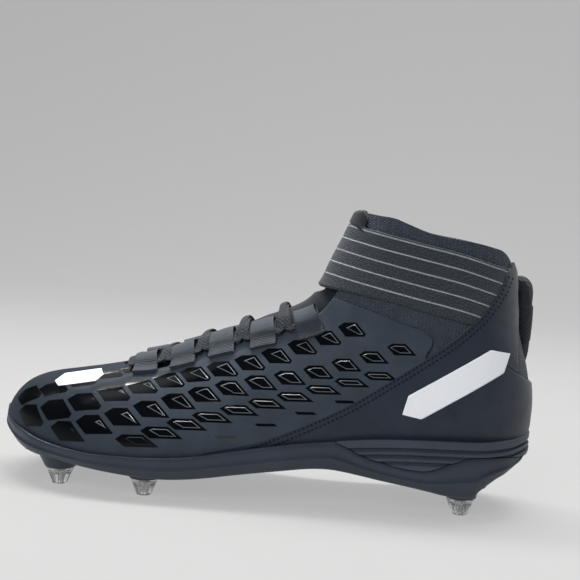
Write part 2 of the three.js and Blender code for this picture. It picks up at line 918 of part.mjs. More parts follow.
// A flat ribbon through points that each have an outward direction
function ribbon(stops, width, thickness) {
  const rings = stops.map(({ point, normal }, i) => {
    const before = stops[Math.max(i - 1, 0)].point;
    const after = stops[Math.min(i + 1, stops.length - 1)].point;
    const across = after.clone().sub(before).cross(normal).normalize();
    return [
      [0.5, 0.5],
      [-0.5, 0.5],
      [-0.5, -0.5],
      [0.5, -0.5],
    ].map(([a, b]) => point.clone().addScaledVector(across, a * width).addScaledVector(normal, b * thickness));
  });
  return loft(rings, squareCap);
}

// The lace: a bar in front of the first pair of loops, then two runs that cross between the pairs
function makeLace() {
  const inside = loopWidth / 2 + laceWidth / 3;
  const clear = loopWidth / 2 + laceWidth / 2 + 1.1;
  const stop = (distance, down, side) => {
    const place = placeBehind(distance);
    const normal = formNormal(place, turnAtWidth(place, throatHalf(distance), side));
    return { point: besideThroat(distance, down, loopHollow, side), normal };
  };
  const middle = (distance) => {
    const place = placeBehind(distance);
    return { point: formPoint(place, 1, laceLift), normal: formNormal(place, 1) };
  };
  const run = (firstSide) => {
    const stops = [];
    for (let i = 0; i < loopCount; i++) {
      const side = i % 2 ? -firstSide : firstSide;
      const centre = loopCentre(i);
      if (i) stops.push(middle(centre - loopPitch / 2));
      stops.push(stop(centre - clear, -4, side), stop(centre - inside, -0.4, side), stop(centre, -0.4, side));
      if (i < loopCount - 1) stops.push(stop(centre + inside, -0.4, side), stop(centre + clear, -4, side));
    }
    const last = loopCentre(loopCount - 1) + 0.4 * loopWidth;
    stops.push(stop(last, -0.4, (loopCount - 1) % 2 ? -firstSide : firstSide));
    return ribbon(stops, laceWidth, laceThickness);
  };
  const start = loopCentre(0) - clear;
  const bar = [stop(start, -3.4, 1), middle(start), stop(start, -3.4, -1)];
  return run(1).add(run(-1)).add(ribbon(bar, laceWidth, laceThickness));
}

// The pull loop: a round braid that leaves the heel, turns down and comes back to it, thicker at its grip
function makePullLoop() {
  const points = pullLine.map((row) => new THREE.Vector3(share(row.x, length), 0, riseHeight(row.rise)));
  const path = new THREE.CatmullRomCurve3(points);
  const rings = [];
  const steps = 18;
  for (let i = 0; i <= steps; i++) {
    const at = i / steps;
    const centre = path.getPointAt(at);
    const ahead = path.getTangentAt(at);
    const across = new THREE.Vector3(0, 1, 0);
    const out = across.clone().cross(ahead);
    const radius = pullRadius + (at > 0.4 && at < 0.68 ? gripStep : 0);
    const ring = [];
    for (let k = 0; k < pullSides; k++) {
      const angle = (2 * Math.PI * k) / pullSides;
      const point = centre.clone().addScaledVector(across, radius * Math.cos(angle));
      ring.push(point.addScaledVector(out, radius * Math.sin(angle)));
    }
    rings.push(ring);
  }
  return loft(rings, bandCap(pullSides)).subtract(form(clearance));
}

// Finishes: colour, roughness and metalness
function finish(color, roughness, metalness = 0) {
  return new THREE.MeshStandardMaterial({ color, roughness, metalness });
}
const knit = finish(0x1b1d21, 0.9);
const film = finish(0x101114, 0.25);
const synthetic = finish(0x1a1c1f, 0.75);
const strapWeave = finish(0x2a2c30, 0.9);
const webbingFinish = finish(0x1e2024, 0.85);
const plateFinish = finish(0x17181b, 0.35);
const clearStud = finish(0xd8dcdc, 0.12);

const shoe = new THREE.Group();
function addPiece(name, made, material) {
  const mesh = new THREE.Mesh(geometryOf(made), material);
  mesh.name = name;
  shoe.add(mesh);
}

const cup = makeCup();
addPiece("outsole", makeOutsole(cup), plateFinish);
addPiece("midsole", makeMidsole(cup), plateFinish);
addPiece("insole", makeInsole(), knit);
addPiece("upper", makeUpper(), knit);
addPiece("vamp_skin", makeVampSkin(), film);
addPiece("heel_quarter", makeQuarter(), synthetic);
addPiece("ankle_strap", makeStrap(), strapWeave);
addPiece("tongue", makeTongue(), synthetic);
for (let i = 0; i < loopCount; i++) {
  addPiece(`lace_loop_outer_${i + 1}`, makeLoop(i, 1), webbingFinish);
  addPiece(`lace_loop_inner_${i + 1}`, makeLoop(i, -1), webbingFinish);
}
addPiece("lace", makeLace(), webbingFinish);
addPiece("pull_loop", makePullLoop(), webbingFinish);
studPlaces.forEach((stud) => addPiece(stud.name, makeStud(stud), clearStud));

// The origin is on the floor under the middle of the shoe's box
const box = new THREE.Box3().setFromObject(shoe, true);
const centre = box.getCenter(new THREE.Vector3());
shoe.position.set(-centre.x, -centre.y, -box.min.z);
const cleat = new THREE.Group();
cleat.add(shoe);

export default cleat;
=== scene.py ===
import math

import bmesh
import bpy
import numpy as np
from mathutils import Matrix


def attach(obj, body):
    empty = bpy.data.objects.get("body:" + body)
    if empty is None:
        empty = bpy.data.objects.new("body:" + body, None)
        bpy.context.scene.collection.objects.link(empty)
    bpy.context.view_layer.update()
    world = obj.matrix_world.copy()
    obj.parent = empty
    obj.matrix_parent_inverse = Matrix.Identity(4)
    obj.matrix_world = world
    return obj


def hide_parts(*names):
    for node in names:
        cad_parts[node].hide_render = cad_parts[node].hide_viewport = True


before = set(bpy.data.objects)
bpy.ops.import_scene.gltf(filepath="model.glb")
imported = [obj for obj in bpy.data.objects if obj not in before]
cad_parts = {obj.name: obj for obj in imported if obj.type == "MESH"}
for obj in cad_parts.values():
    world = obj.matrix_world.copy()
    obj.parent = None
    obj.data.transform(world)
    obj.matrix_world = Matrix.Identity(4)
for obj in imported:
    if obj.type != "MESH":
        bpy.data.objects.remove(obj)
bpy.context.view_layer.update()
mm = 0.001

# Sizes of the whole shoe in millimetres, as in the solids. Every table below gives shares of these.
shoe = {
    "length": 317,
    "ballWidth": 106,
    "studHeight": 10,
    "heelHeight": 32,
    "instepHeight": 94,
    "collarHeight": 160,
    "middle": (158.5, 0.477, 0),  # from the back of the sole and its axis to the middle of the box
}
print("frame loaded")


def table(columns, rows):
    named = {column: np.array([row[i] for row in rows], float) for i, column in enumerate(columns)}
    named["place"] = np.arange(len(rows), dtype=float)
    return named


# The form inside the upper. Each row is a slanted ring from the sole or heel (out) to the instep or ankle (in).
sections = table(
    ("outX", "outSeat", "outClimb", "inX", "inRise", "outer", "inner", "shift", "widest", "low", "top"),
    [
        (98.7, 75, 0, 98.7, 25.5, 0, 0, -7.5, 40, 2.2, 2.1),
        (98.4, 62, 0, 98.4, 32, 9.9, 10.2, -7.5, 42, 2.2, 2.1),
        (97.5, 53, 0, 97.5, 38, 16.4, 16.6, -7.5, 42, 2.3, 2.15),
        (95.6, 46, 0, 95.6, 45, 24.1, 24.1, -6.6, 40, 2.4, 2.2),
        (93.3, 38, 0, 93.3, 49.4, 30.2, 29.4, -5.7, 38, 2.5, 2.25),
        (90.2, 30, 0, 90.2, 52.6, 35.4, 33.4, -4.2, 36, 2.6, 2.25),
        (86, 22, 0, 86, 55.5, 40.6, 38.2, -2.8, 34, 2.7, 2.2),
        (81, 15, 0, 81, 59, 45, 42.4, -1.9, 32, 2.8, 2.1),
        (75.7, 12, 0, 75.7, 63.4, 46.6, 44.6, -0.9, 30, 2.9, 1.95),
        (69.4, 11, 0, 69.4, 70.4, 46.6, 44.2, 0, 28, 3, 1.8),
        (63, 14, 0, 63, 79.8, 44.8, 41.2, 0, 27, 3, 1.75),
        (56.8, 22, 0, 57, 89.4, 43.7, 37.7, 0, 27, 3, 1.75),
        (49.8, 31, 0, 51.4, 97.3, 40.8, 34, 0, 27, 3, 1.75),
        (42.3, 41, 0, 46.7, 106, 37.9, 31, 0, 27, 3, 1.8),
        (34, 48, 0, 43.5, 113.6, 35.5, 30, 0, 28, 3, 1.85),
        (25.9, 51, 0, 41.6, 121.2, 34, 30.7, 0, 30, 3, 1.9),
        (17.7, 53, 0, 40.4, 130, 33.4, 32, 0, 33, 2.9, 2),
        (10.4, 58, 0, 39.4, 138.6, 33.2, 32.8, 0, 36, 2.7, 2.1),
        (4.4, 70, 0, 38.6, 148.5, 32.8, 32.8, 0, 39, 2.5, 2.15),
        (1.2, 100, 0, 37.8, 157.6, 32.5, 32.5, 0, 41, 2.4, 2.2),
        (0.5, 100, 11.7, 37, 166, 31.7, 31.7, 0, 43, 2.35, 2.2),
        (0.6, 100, 22.7, 36.2, 174.2, 31, 31, 0, 44, 2.3, 2.2),
        (1.5, 100, 34.4, 35.5, 182.6, 30.2, 30.2, 0, 45, 2.3, 2.2),
        (2.9, 100, 46, 34.8, 190.2, 29.7, 29.7, 0, 46, 2.3, 2.2),
        (3.9, 100, 57.8, 34.2, 197, 29.2, 29.2, 0, 47, 2.3, 2.2),
        (4.5, 100, 69.5, 33.7, 204.5, 29, 29, 0, 48, 2.3, 2.2),
        (5.2, 100, 82.8, 33, 215.2, 28.8, 28.8, 0, 48, 2.3, 2.2),
        (5.8, 100, 97, 32.3, 233.3, 28.5, 28.5, 0, 48, 2.3, 2.2),
    ],
)
lastPlace = len(sections["place"]) - 1

# Lines along the sole: share of the length, share of the heel's height
featherLine = table(("x", "z"), [(0, 120), (1.6, 117), (3.8, 112), (8.6, 108), (15.6, 107), (24.6, 104), (31.2, 99),
                                 (36.4, 92), (43.3, 83), (52, 68), (58.3, 56), (63, 49), (67.9, 46), (76, 44),
                                 (79.3, 44), (84.8, 48), (89.2, 54), (93.7, 64), (97, 70),
                                 (98.6, 76), (99.4, 83), (100, 89)])
floorLine = table(("x", "z"), [(0, 64), (6.3, 62), (15.8, 61), (25.2, 59), (34.7, 53), (44.2, 45), (53.6, 32),
                               (63, 22), (69.4, 19), (75.7, 19), (81, 22), (86, 29), (90.2, 36), (94.6, 44),
                               (100, 54)])
underLine = table(("x", "z"), [(0, 100), (1.1, 85), (2, 66), (3.9, 50), (6.1, 38), (8.9, 18), (10.2, 6), (14.8, 8),
                               (18.3, 14), (21.9, 20), (27.2, 28), (32.5, 37), (36, 41), (39.6, 40), (44.8, 33),
                               (51.8, 23), (58.2, 13), (63, 8), (67, 7), (71.4, 9), (76.9, 13), (85, 20),
                               (91.8, 25), (94.5, 31), (97.3, 43), (98.6, 50), (100, 60)])
splitLine = table(("x", "z"), [(-1.6, 76), (2, 79), (10, 80), (13.2, 73), (18.6, 53), (22, 53), (25.7, 59),
                               (30.6, 72), (33.5, 86), (36.4, 96), (41, 110)])

# Lines on the side of the upper: share of the length, share of the instep's height and past 100 of the shaft's
collarLine = table(("x", "rise"), [(-9.5, 136), (3.2, 139), (5.2, 156), (6.3, 166), (7.6, 172), (9.5, 175),
                                   (12.3, 178), (15, 180), (18.3, 182), (21.5, 185), (24.6, 190), (27.4, 195),
                                   (30.6, 197), (34.7, 200), (47.3, 208)])
quarterSeam = table(("x", "rise"), [(-9.5, 173), (3.8, 168), (6.7, 157), (8.4, 138), (11, 118), (12.9, 108),
                                    (15.6, 97), (19, 88), (23, 78), (28.4, 65), (33.8, 53), (41.8, 39), (50.3, 27),
                                    (60, 18), (63, 4)])
skinTop = table(("x", "rise"), [(-9.5, 60), (17, 78), (20.2, 84), (19.4, 92), (19.4, 97), (20.7, 100.5), (25, 106),
                                (29.3, 113), (35.2, 120), (38.2, 123), (40.7, 128), (44.2, 170)])
strapTop = table(("x", "rise"), [(3.2, 153), (7.5, 158), (14.6, 168), (21.7, 175), (30.3, 183), (38, 190),
                                 (47.3, 196)])
strapLow = table(("x", "rise"), [(8, 104), (13, 109), (20.9, 117), (26.6, 123), (32.4, 127), (36.3, 129),
                                 (47.3, 133)])
heelNotch = table(("x", "rise"), [(-2, 68), (0.8, 70), (3.2, 72), (4.0, 78), (4.2, 95), (4.3, 120), (4.6, 131),
                                  (4.6, 144), (4.0, 149), (0.8, 151), (-2, 152)])
tongueTop = table(("x", "rise"), [(25.2, 197), (30.6, 198), (32, 200), (33.4, 201), (34.4, 199), (35.3, 194),
                                  (47.3, 185)])


# Smooth value where xs is at: a cubic between two neighbours, with slopes from the points on either side
def smoothAt(xs, ys, at):
    order = np.argsort(xs)
    xs, ys = xs[order], ys[order]
    at = np.clip(np.asarray(at, float), xs[0], xs[-1])
    i = np.clip(np.searchsorted(xs, at, side="right") - 1, 0, len(xs) - 2)
    count = np.arange(len(xs))
    before = np.maximum(count - 1, 0)
    after = np.minimum(count + 1, len(xs) - 1)
    slope = (ys[after] - ys[before]) / (xs[after] - xs[before])
    span = xs[i + 1] - xs[i]
    f = (at - xs[i]) / span
    bend = f * f * (3 - 2 * f)
    leave = f * (1 - f) ** 2 * slope[i] * span
    arrive = f * f * (1 - f) * slope[i + 1] * span
    return ys[i] * (1 - bend) + ys[i + 1] * bend + leave - arrive


def ease(value):
    value = np.clip(value, 0, 1)
    return value * value * (3 - 2 * value)


def riseHeight(percent):
    shaft = shoe["collarHeight"] - shoe["instepHeight"]
    lower = np.minimum(percent, 100) / 100 * shoe["instepHeight"]
    return shoe["studHeight"] + lower + np.maximum(percent - 100, 0) / 100 * shaft


def soleHeight(line, x):
    share = smoothAt(line["x"], line["z"], 100 * x / shoe["length"])
    return shoe["studHeight"] + share / 100 * shoe["heelHeight"]


# Height of a side line at x, and where along the shoe a side line is at height z
def lineHeight(line, x):
    return smoothAt(line["x"] / 100 * shoe["length"], riseHeight(line["rise"]), x)


def lineX(line, z):
    return smoothAt(riseHeight(line["rise"]), line["x"] / 100 * shoe["length"], z)


def ringAt(place):
    read = lambda column: smoothAt(sections["place"], sections[column], place)
    climb = read("outClimb") / 100 * (shoe["collarHeight"] - shoe["heelHeight"])
    wide = shoe["ballWidth"] / 100
    return {
        "outX": read("outX") / 100 * shoe["length"],
        "outZ": shoe["studHeight"] + read("outSeat") / 100 * shoe["heelHeight"] + climb,
        "topX": read("inX") / 100 * shoe["length"],
        "topZ": riseHeight(read("inRise")),
        "outer": read("outer") * wide,
        "inner": read("inner") * wide,
        "shift": read("shift") * wide,
        "widest": read("widest") / 100,
        "low": read("low"),
        "crown": read("top"),
    }


# A point of the form. Turn runs from 0 under the foot to 1 on top, by the outer side, and to -1 by the inner side;
# each quarter of a ring is a quarter of a superellipse.
def bareForm(place, turn):
    ring = ringAt(np.clip(place, 0, lastPlace))
    way, side = np.abs(turn), np.sign(turn)
    side = np.where(way > 1, -side, side)
    way = np.where(way > 1, 2 - way, way)
    power = 2 / np.where(way < 0.5, ring["low"], ring["crown"])
    half = np.where(side > 0, ring["outer"], ring["inner"])
    wide = np.maximum(np.sin(way * np.pi), 0) ** power
    bow = np.abs(np.cos(way * np.pi)) ** power
    up = np.where(way < 0.5, ring["widest"] * (1 - bow), ring["widest"] + (1 - ring["widest"]) * bow)
    x = ring["outX"] + (ring["topX"] - ring["outX"]) * up
    z = ring["outZ"] + (ring["topZ"] - ring["outZ"]) * up
    return np.stack(np.broadcast_arrays(x, ring["shift"] + side * half * wide, z), -1)


def unit(vectors):
    return vectors / np.maximum(np.linalg.norm(vectors, axis=-1, keepdims=True), 1e-9)


# The form's outward direction: across two short steps on its surface
def formNormal(place, turn):
    place = np.clip(place, 0.03, lastPlace - 0.03)
    along = bareForm(place + 0.03, turn) - bareForm(place - 0.03, turn)
    around = bareForm(place, turn + 0.006) - bareForm(place, turn - 0.006)
    return unit(np.cross(along, around))


# Turns that lie about evenly round a ring, though a superellipse crowds at its quarters
def evenTurns(count):
    w = np.linspace(0, 1, count // 2)
    g = w**1.5 / (w**1.5 + (1 - w) ** 1.5)
    return np.concatenate([0.5 * g, 0.5 + 0.5 * g[1:]])


fineTurns = evenTurns(600)


# Places that lie evenly along the shoe at one turn, between two places
def evenPlaces(first, last, count, turn=0.6):
    fine = np.linspace(first, last, 900)
    points = bareForm(fine, np.full_like(fine, turn))
    reach = np.concatenate([[0], np.cumsum(np.linalg.norm(np.diff(points, axis=0), axis=1) + 0.02)])
    return np.interp(np.linspace(0, reach[-1], count), reach, fine)


# Place and turn of the outer side where the side view is at (x, z): nearest of a fine net, then Newton's steps
sideNet = np.meshgrid(np.linspace(0.5, lastPlace, 260), evenTurns(160), indexing="ij")
sidePoints = bareForm(*sideNet)


def findOnSide(x, z):
    x, z = np.atleast_1d(x).astype(float), np.atleast_1d(z).astype(float)
    far = (sidePoints[..., 0].ravel()[None] - x[:, None]) ** 2 + (sidePoints[..., 2].ravel()[None] - z[:, None]) ** 2
    best = far.argmin(1)
    place, turn = sideNet[0].ravel()[best], sideNet[1].ravel()[best]
    for _ in range(14):
        here = bareForm(place, turn)
        stepP = (bareForm(place + 0.01, turn) - here) / 0.01
        stepT = (bareForm(place, turn + 0.001) - here) / 0.001
        missX, missZ = x - here[:, 0], z - here[:, 2]
        det = stepP[:, 0] * stepT[:, 2] - stepT[:, 0] * stepP[:, 2]
        det = np.where(np.abs(det) < 1e-3, 1e-3, det)
        place = np.clip(place + 0.6 * np.clip((missX * stepT[:, 2] - stepT[:, 0] * missZ) / det, -1, 1), 0.05, lastPlace)
        turn = np.clip(turn + 0.6 * np.clip((stepP[:, 0] * missZ - missX * stepP[:, 2]) / det, -0.1, 0.1), 0.01, 0.99)
    return place, turn


# Throat: its length runs back over the top of the form from its front end
throat = {
    "front": 76.8,
    "margin": 1.2,
    "half": table(("behind", "half"), [(0, 9), (3, 11), (9, 13), (20, 15), (45, 16.2), (65, 17.2), (80, 19), (100, 19.5)]),
    "nose": 9,  # length over which its front end rounds
}
throatPlaces = np.linspace(5, lastPlace, 1200)
throatTop = bareForm(throatPlaces, np.ones_like(throatPlaces))
throatFrontPlace = np.interp(-throat["front"] / 100 * shoe["length"], -throatTop[:, 0], throatPlaces)
throatPlaces = np.linspace(throatFrontPlace, lastPlace, 1200)
throatTop = bareForm(throatPlaces, np.ones_like(throatPlaces))
throatReach = np.concatenate([[0], np.cumsum(np.linalg.norm(np.diff(throatTop, axis=0), axis=1))])


def placeBehind(distance):
    ahead = throatFrontPlace + np.minimum(distance, 0) / 21
    return np.where(np.asarray(distance) < 0, ahead, np.interp(distance, throatReach, throatPlaces))


def distanceAt(place):
    return np.where(place < throatFrontPlace, (place - throatFrontPlace) * 21, np.interp(place, throatPlaces, throatReach))


def throatHalf(distance):
    distance = np.asarray(distance, float)
    full = smoothAt(throat["half"]["behind"], throat["half"]["half"], 100 * distance / throatReach[-1])
    f = np.clip(distance / throat["nose"], 0, 1)
    return full * np.sqrt(f * (2 - f))


# Turn of a ring's upper quarter that is y wide of its middle
def turnAtWidth(place, y, side):
    ring = ringAt(place)
    half = np.where(side > 0, ring["outer"], ring["inner"])
    sine = np.clip(y / half, 0, 1) ** (ring["crown"] / 2)
    return side * (1 - np.arcsin(sine) / np.pi)


# Signed distances, positive inside a region, for points of the form at their places and turns
def aboveFeather(points, tuck):
    return points[..., 2] - soleHeight(featherLine, points[..., 0]) + tuck


def besideThroat(points, place, turn, margin):
    distance = distanceAt(place)
    wide = np.abs(points[..., 1] - ringAt(place)["shift"]) - throatHalf(distance) - margin
    wide = np.where(distance < -margin, 50, wide)
    return np.where(np.abs(turn) < 0.5, 50, wide)


# Quads of a grid of rows and columns of points
def gridFaces(rows, columns, aroundColumns=False):
    wrap = columns if aroundColumns else columns - 1
    r, c = np.meshgrid(np.arange(rows - 1), np.arange(wrap), indexing="ij")
    a = r * columns + c
    b = r * columns + (c + 1) % columns
    return np.stack([a, b, b + columns, a + columns], -1).reshape(-1, 4)


# A mesh from points in the shoe's millimetres, with faces turned outward by the sign of its volume
def addPiece(name, points, faces, material, nodes=(), uv=None, corners=None, weld=True, closed=True):
    points = (np.asarray(points).reshape(-1, 3) - np.array(shoe["middle"])) * mm
    faces = np.asarray(faces)
    if closed:
        a, b, c = points[faces[:, 0]], points[faces[:, 1]], points[faces[:, 2]]
        volume = (a * np.cross(b, c)).sum()
        if faces.shape[1] == 4:
            volume += (a * np.cross(c, points[faces[:, 3]])).sum()
        if volume < 0:
            faces = faces[:, ::-1]
            corners = {key: value[:, ::-1] for key, value in (corners or {}).items()}
    mesh = bpy.data.meshes.new(name)
    mesh.from_pydata(points.tolist(), [], faces.tolist())
    if uv is not None:
        layer = mesh.uv_layers.new(name="UVMap")
        layer.data.foreach_set("uv", np.asarray(uv, float).reshape(-1, 2)[faces.ravel()].ravel())
    for key, value in (corners or {}).items():
        mesh.uv_layers.new(name=key).data.foreach_set("uv", value.ravel())
    if weld:
        work = bmesh.new()
        work.from_mesh(mesh)
        bmesh.ops.remove_doubles(work, verts=work.verts, dist=2e-6)
        bmesh.ops.dissolve_degenerate(work, dist=1e-6, edges=work.edges)
        work.to_mesh(mesh)
        work.free()
    mesh.shade_smooth()
    mesh.materials.append(material)
    piece = bpy.data.objects.new(name, mesh)
    bpy.context.scene.collection.objects.link(piece)
    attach(piece, "root")
    if nodes:
        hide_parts(*nodes)
    return piece


# First and last arc of each ring where value is positive, with the crossings worked out between samples
def insideRun(value, arc):
    inside = value > 0
    rows = np.arange(len(value))
    valid = inside.any(1)
    first = np.where(valid, inside.argmax(1), 0)
    last = np.where(valid, value.shape[1] - 1 - inside[:, ::-1].argmax(1), 0)
    back = np.maximum(first - 1, 0)
    ahead = np.minimum(last + 1, value.shape[1] - 1)

    def crossing(outside, within):
        a, b = value[rows, outside], value[rows, within]
        f = np.where(a < 0, a / np.where(a < b, a - b, -1), 1)
        return arc[rows, outside] + (arc[rows, within] - arc[rows, outside]) * np.clip(f, 0, 1)

    low = np.where(first > 0, crossing(back, first), arc[:, 0])
    high = np.where(last < value.shape[1] - 1, crossing(ahead, last), arc[:, -1])
    return low, high, valid


# A closed shell over one side of the form. Each ring is a loop: out along the outer face from the low edge to the
# high one, over a rounded edge, and back along the inner face.
def formShell(side, places, region, outerCount, innerCount, outer, inner, edge=0.9):
    places = places[:, None]
    turns = side * fineTurns[None]
    points = bareForm(places, turns)
    arc = np.concatenate([np.zeros((len(places), 1)), np.cumsum(np.linalg.norm(np.diff(points, axis=1), axis=2), 1)], 1)
    low, high, valid = insideRun(region(points, places, turns), arc)
    places, arc, low, high = places[valid], arc[valid], low[valid][:, None], high[valid][:, None]
    span = high - low
    lip = np.minimum(edge, 0.25 * span)
    steps = np.array([0, 0.08, 0.3, 0.62])[None]
    middle = np.linspace(0, 1, outerCount)[None]
    outside = np.concatenate([low + lip * steps, low + lip + (span - 2 * lip) * middle, high - lip * steps[:, ::-1]], 1)
    inside = high - span * np.linspace(0, 1, innerCount)[None]
    reach = np.concatenate([outside, inside], 1)
    turn = np.stack([np.interp(reach[i], arc[i], fineTurns) for i in range(len(reach))]) * side
    place = np.broadcast_to(places, turn.shape)
    near = np.minimum(outside - low, high - outside) / lip
    round_ = np.sqrt(np.clip(near, 0, 1) * (2 - np.clip(near, 0, 1)))
    base = bareForm(place, turn)
    normal = formNormal(place, turn)
    height = outer(base, place, turn)
    deep = inner(base, place, turn)
    n = outside.shape[1]
    offset = deep.copy()
    offset[:, :n] = deep[:, :n] + (height[:, :n] - deep[:, :n]) * round_
    return base, normal, offset, place, turn, np.concatenate([outside - low, inside - low], 1)


def constant(value):
    return lambda points, place, turn: np.full(points.shape[:-1], float(value))


# Materials
def newMaterial(name, color, roughness, **sockets):
    material = bpy.data.materials.new(name)
    material.use_nodes = True
    shader = material.node_tree.nodes["Principled BSDF"]
    shader.inputs["Base Color"].default_value = (*color, 1)
    shader.inputs["Roughness"].default_value = roughness
    for socket, value in sockets.items():
        shader.inputs[socket.replace("_", " ")].default_value = value
    return material


def addNode(material, kind, inputs=None, **settings):
    node = material.node_tree.nodes.new(kind)
    for key, value in settings.items():
        setattr(node, key, value)
    for socket, value in (inputs or {}).items():
        if isinstance(value, bpy.types.NodeSocket):
            material.node_tree.links.new(value, node.inputs[socket])
        else:
            node.inputs[socket].default_value = value
    return node


def shaderOf(material):
    return material.node_tree.nodes["Principled BSDF"]


def linkTo(material, output, socket):
    material.node_tree.links.new(output, shaderOf(material).inputs[socket])


def objectCoords(material, scale=(1, 1, 1), turn=(0, 0, 0)):
    coords = addNode(material, "ShaderNodeTexCoord")
    mapping = addNode(material, "ShaderNodeMapping", {"Vector": coords.outputs["Object"], "Scale": scale, "Rotation": turn})
    return mapping.outputs["Vector"]


def uvCoords(material, scale=(1, 1, 1), turn=(0, 0, 0)):
    coords = addNode(material, "ShaderNodeTexCoord")
    mapping = addNode(material, "ShaderNodeMapping", {"Vector": coords.outputs["UV"], "Scale": scale, "Rotation": turn})
    return mapping.outputs["Vector"]


def noise(material, vector, scale, detail=3, roughness=0.55):
    inputs = {"Vector": vector, "Scale": scale, "Detail": detail, "Roughness": roughness}
    return addNode(material, "ShaderNodeTexNoise", inputs).outputs["Fac"]


def maths(material, operation, a, b=None, c=None):
    node = addNode(material, "ShaderNodeMath", {0: a}, operation=operation)
    for i, value in ((1, b), (2, c)):
        if isinstance(value, bpy.types.NodeSocket):
            material.node_tree.links.new(value, node.inputs[i])
        elif value is not None:
            node.inputs[i].default_value = value
    return node.outputs[0]


def remap(material, value, low, high, toLow, toHigh):
    inputs = {"Value": value, "From Min": low, "From Max": high, "To Min": toLow, "To Max": toHigh}
    return addNode(material, "ShaderNodeMapRange", inputs).outputs["Result"]


def mixColors(material, factor, a, b):
    node = addNode(material, "ShaderNodeMix", {"Factor": factor}, data_type="RGBA")
    for i, value in ((6, a), (7, b)):
        if isinstance(value, bpy.types.NodeSocket):
            material.node_tree.links.new(value, node.inputs[i])
        else:
            node.inputs[i].default_value = (*value, 1)
    return node.outputs[2]


def addBump(material, height, depth, strength=1):
    inputs = {"Height": height, "Distance": depth * mm, "Strength": strength}
    before = shaderOf(material).inputs["Normal"]
    if before.is_linked:
        inputs["Normal"] = before.links[0].from_socket
    bump = addNode(material, "ShaderNodeBump", inputs)
    linkTo(material, bump.outputs["Normal"], "Normal")


def attributeOf(material, name):
    return addNode(material, "ShaderNodeAttribute", attribute_name=name).outputs["Fac"]


# Shape of one cell of the film, in millimetres from its middle
cell = {
    "side": 5.7,  # middle to the two slanting sides
    "top": 4.9,
    "corner": 6.5,  # middle to the clipped upper front corner
    "edge": 0.2,
    "ridgeRise": 0.55,  # width of the edge of the raised part, where a pale highlight is painted into the colour
    "ridgeMargin": 1.2,
    "tilt": 0.42,  # slope of the high cells at the toe, which hides the room above
}
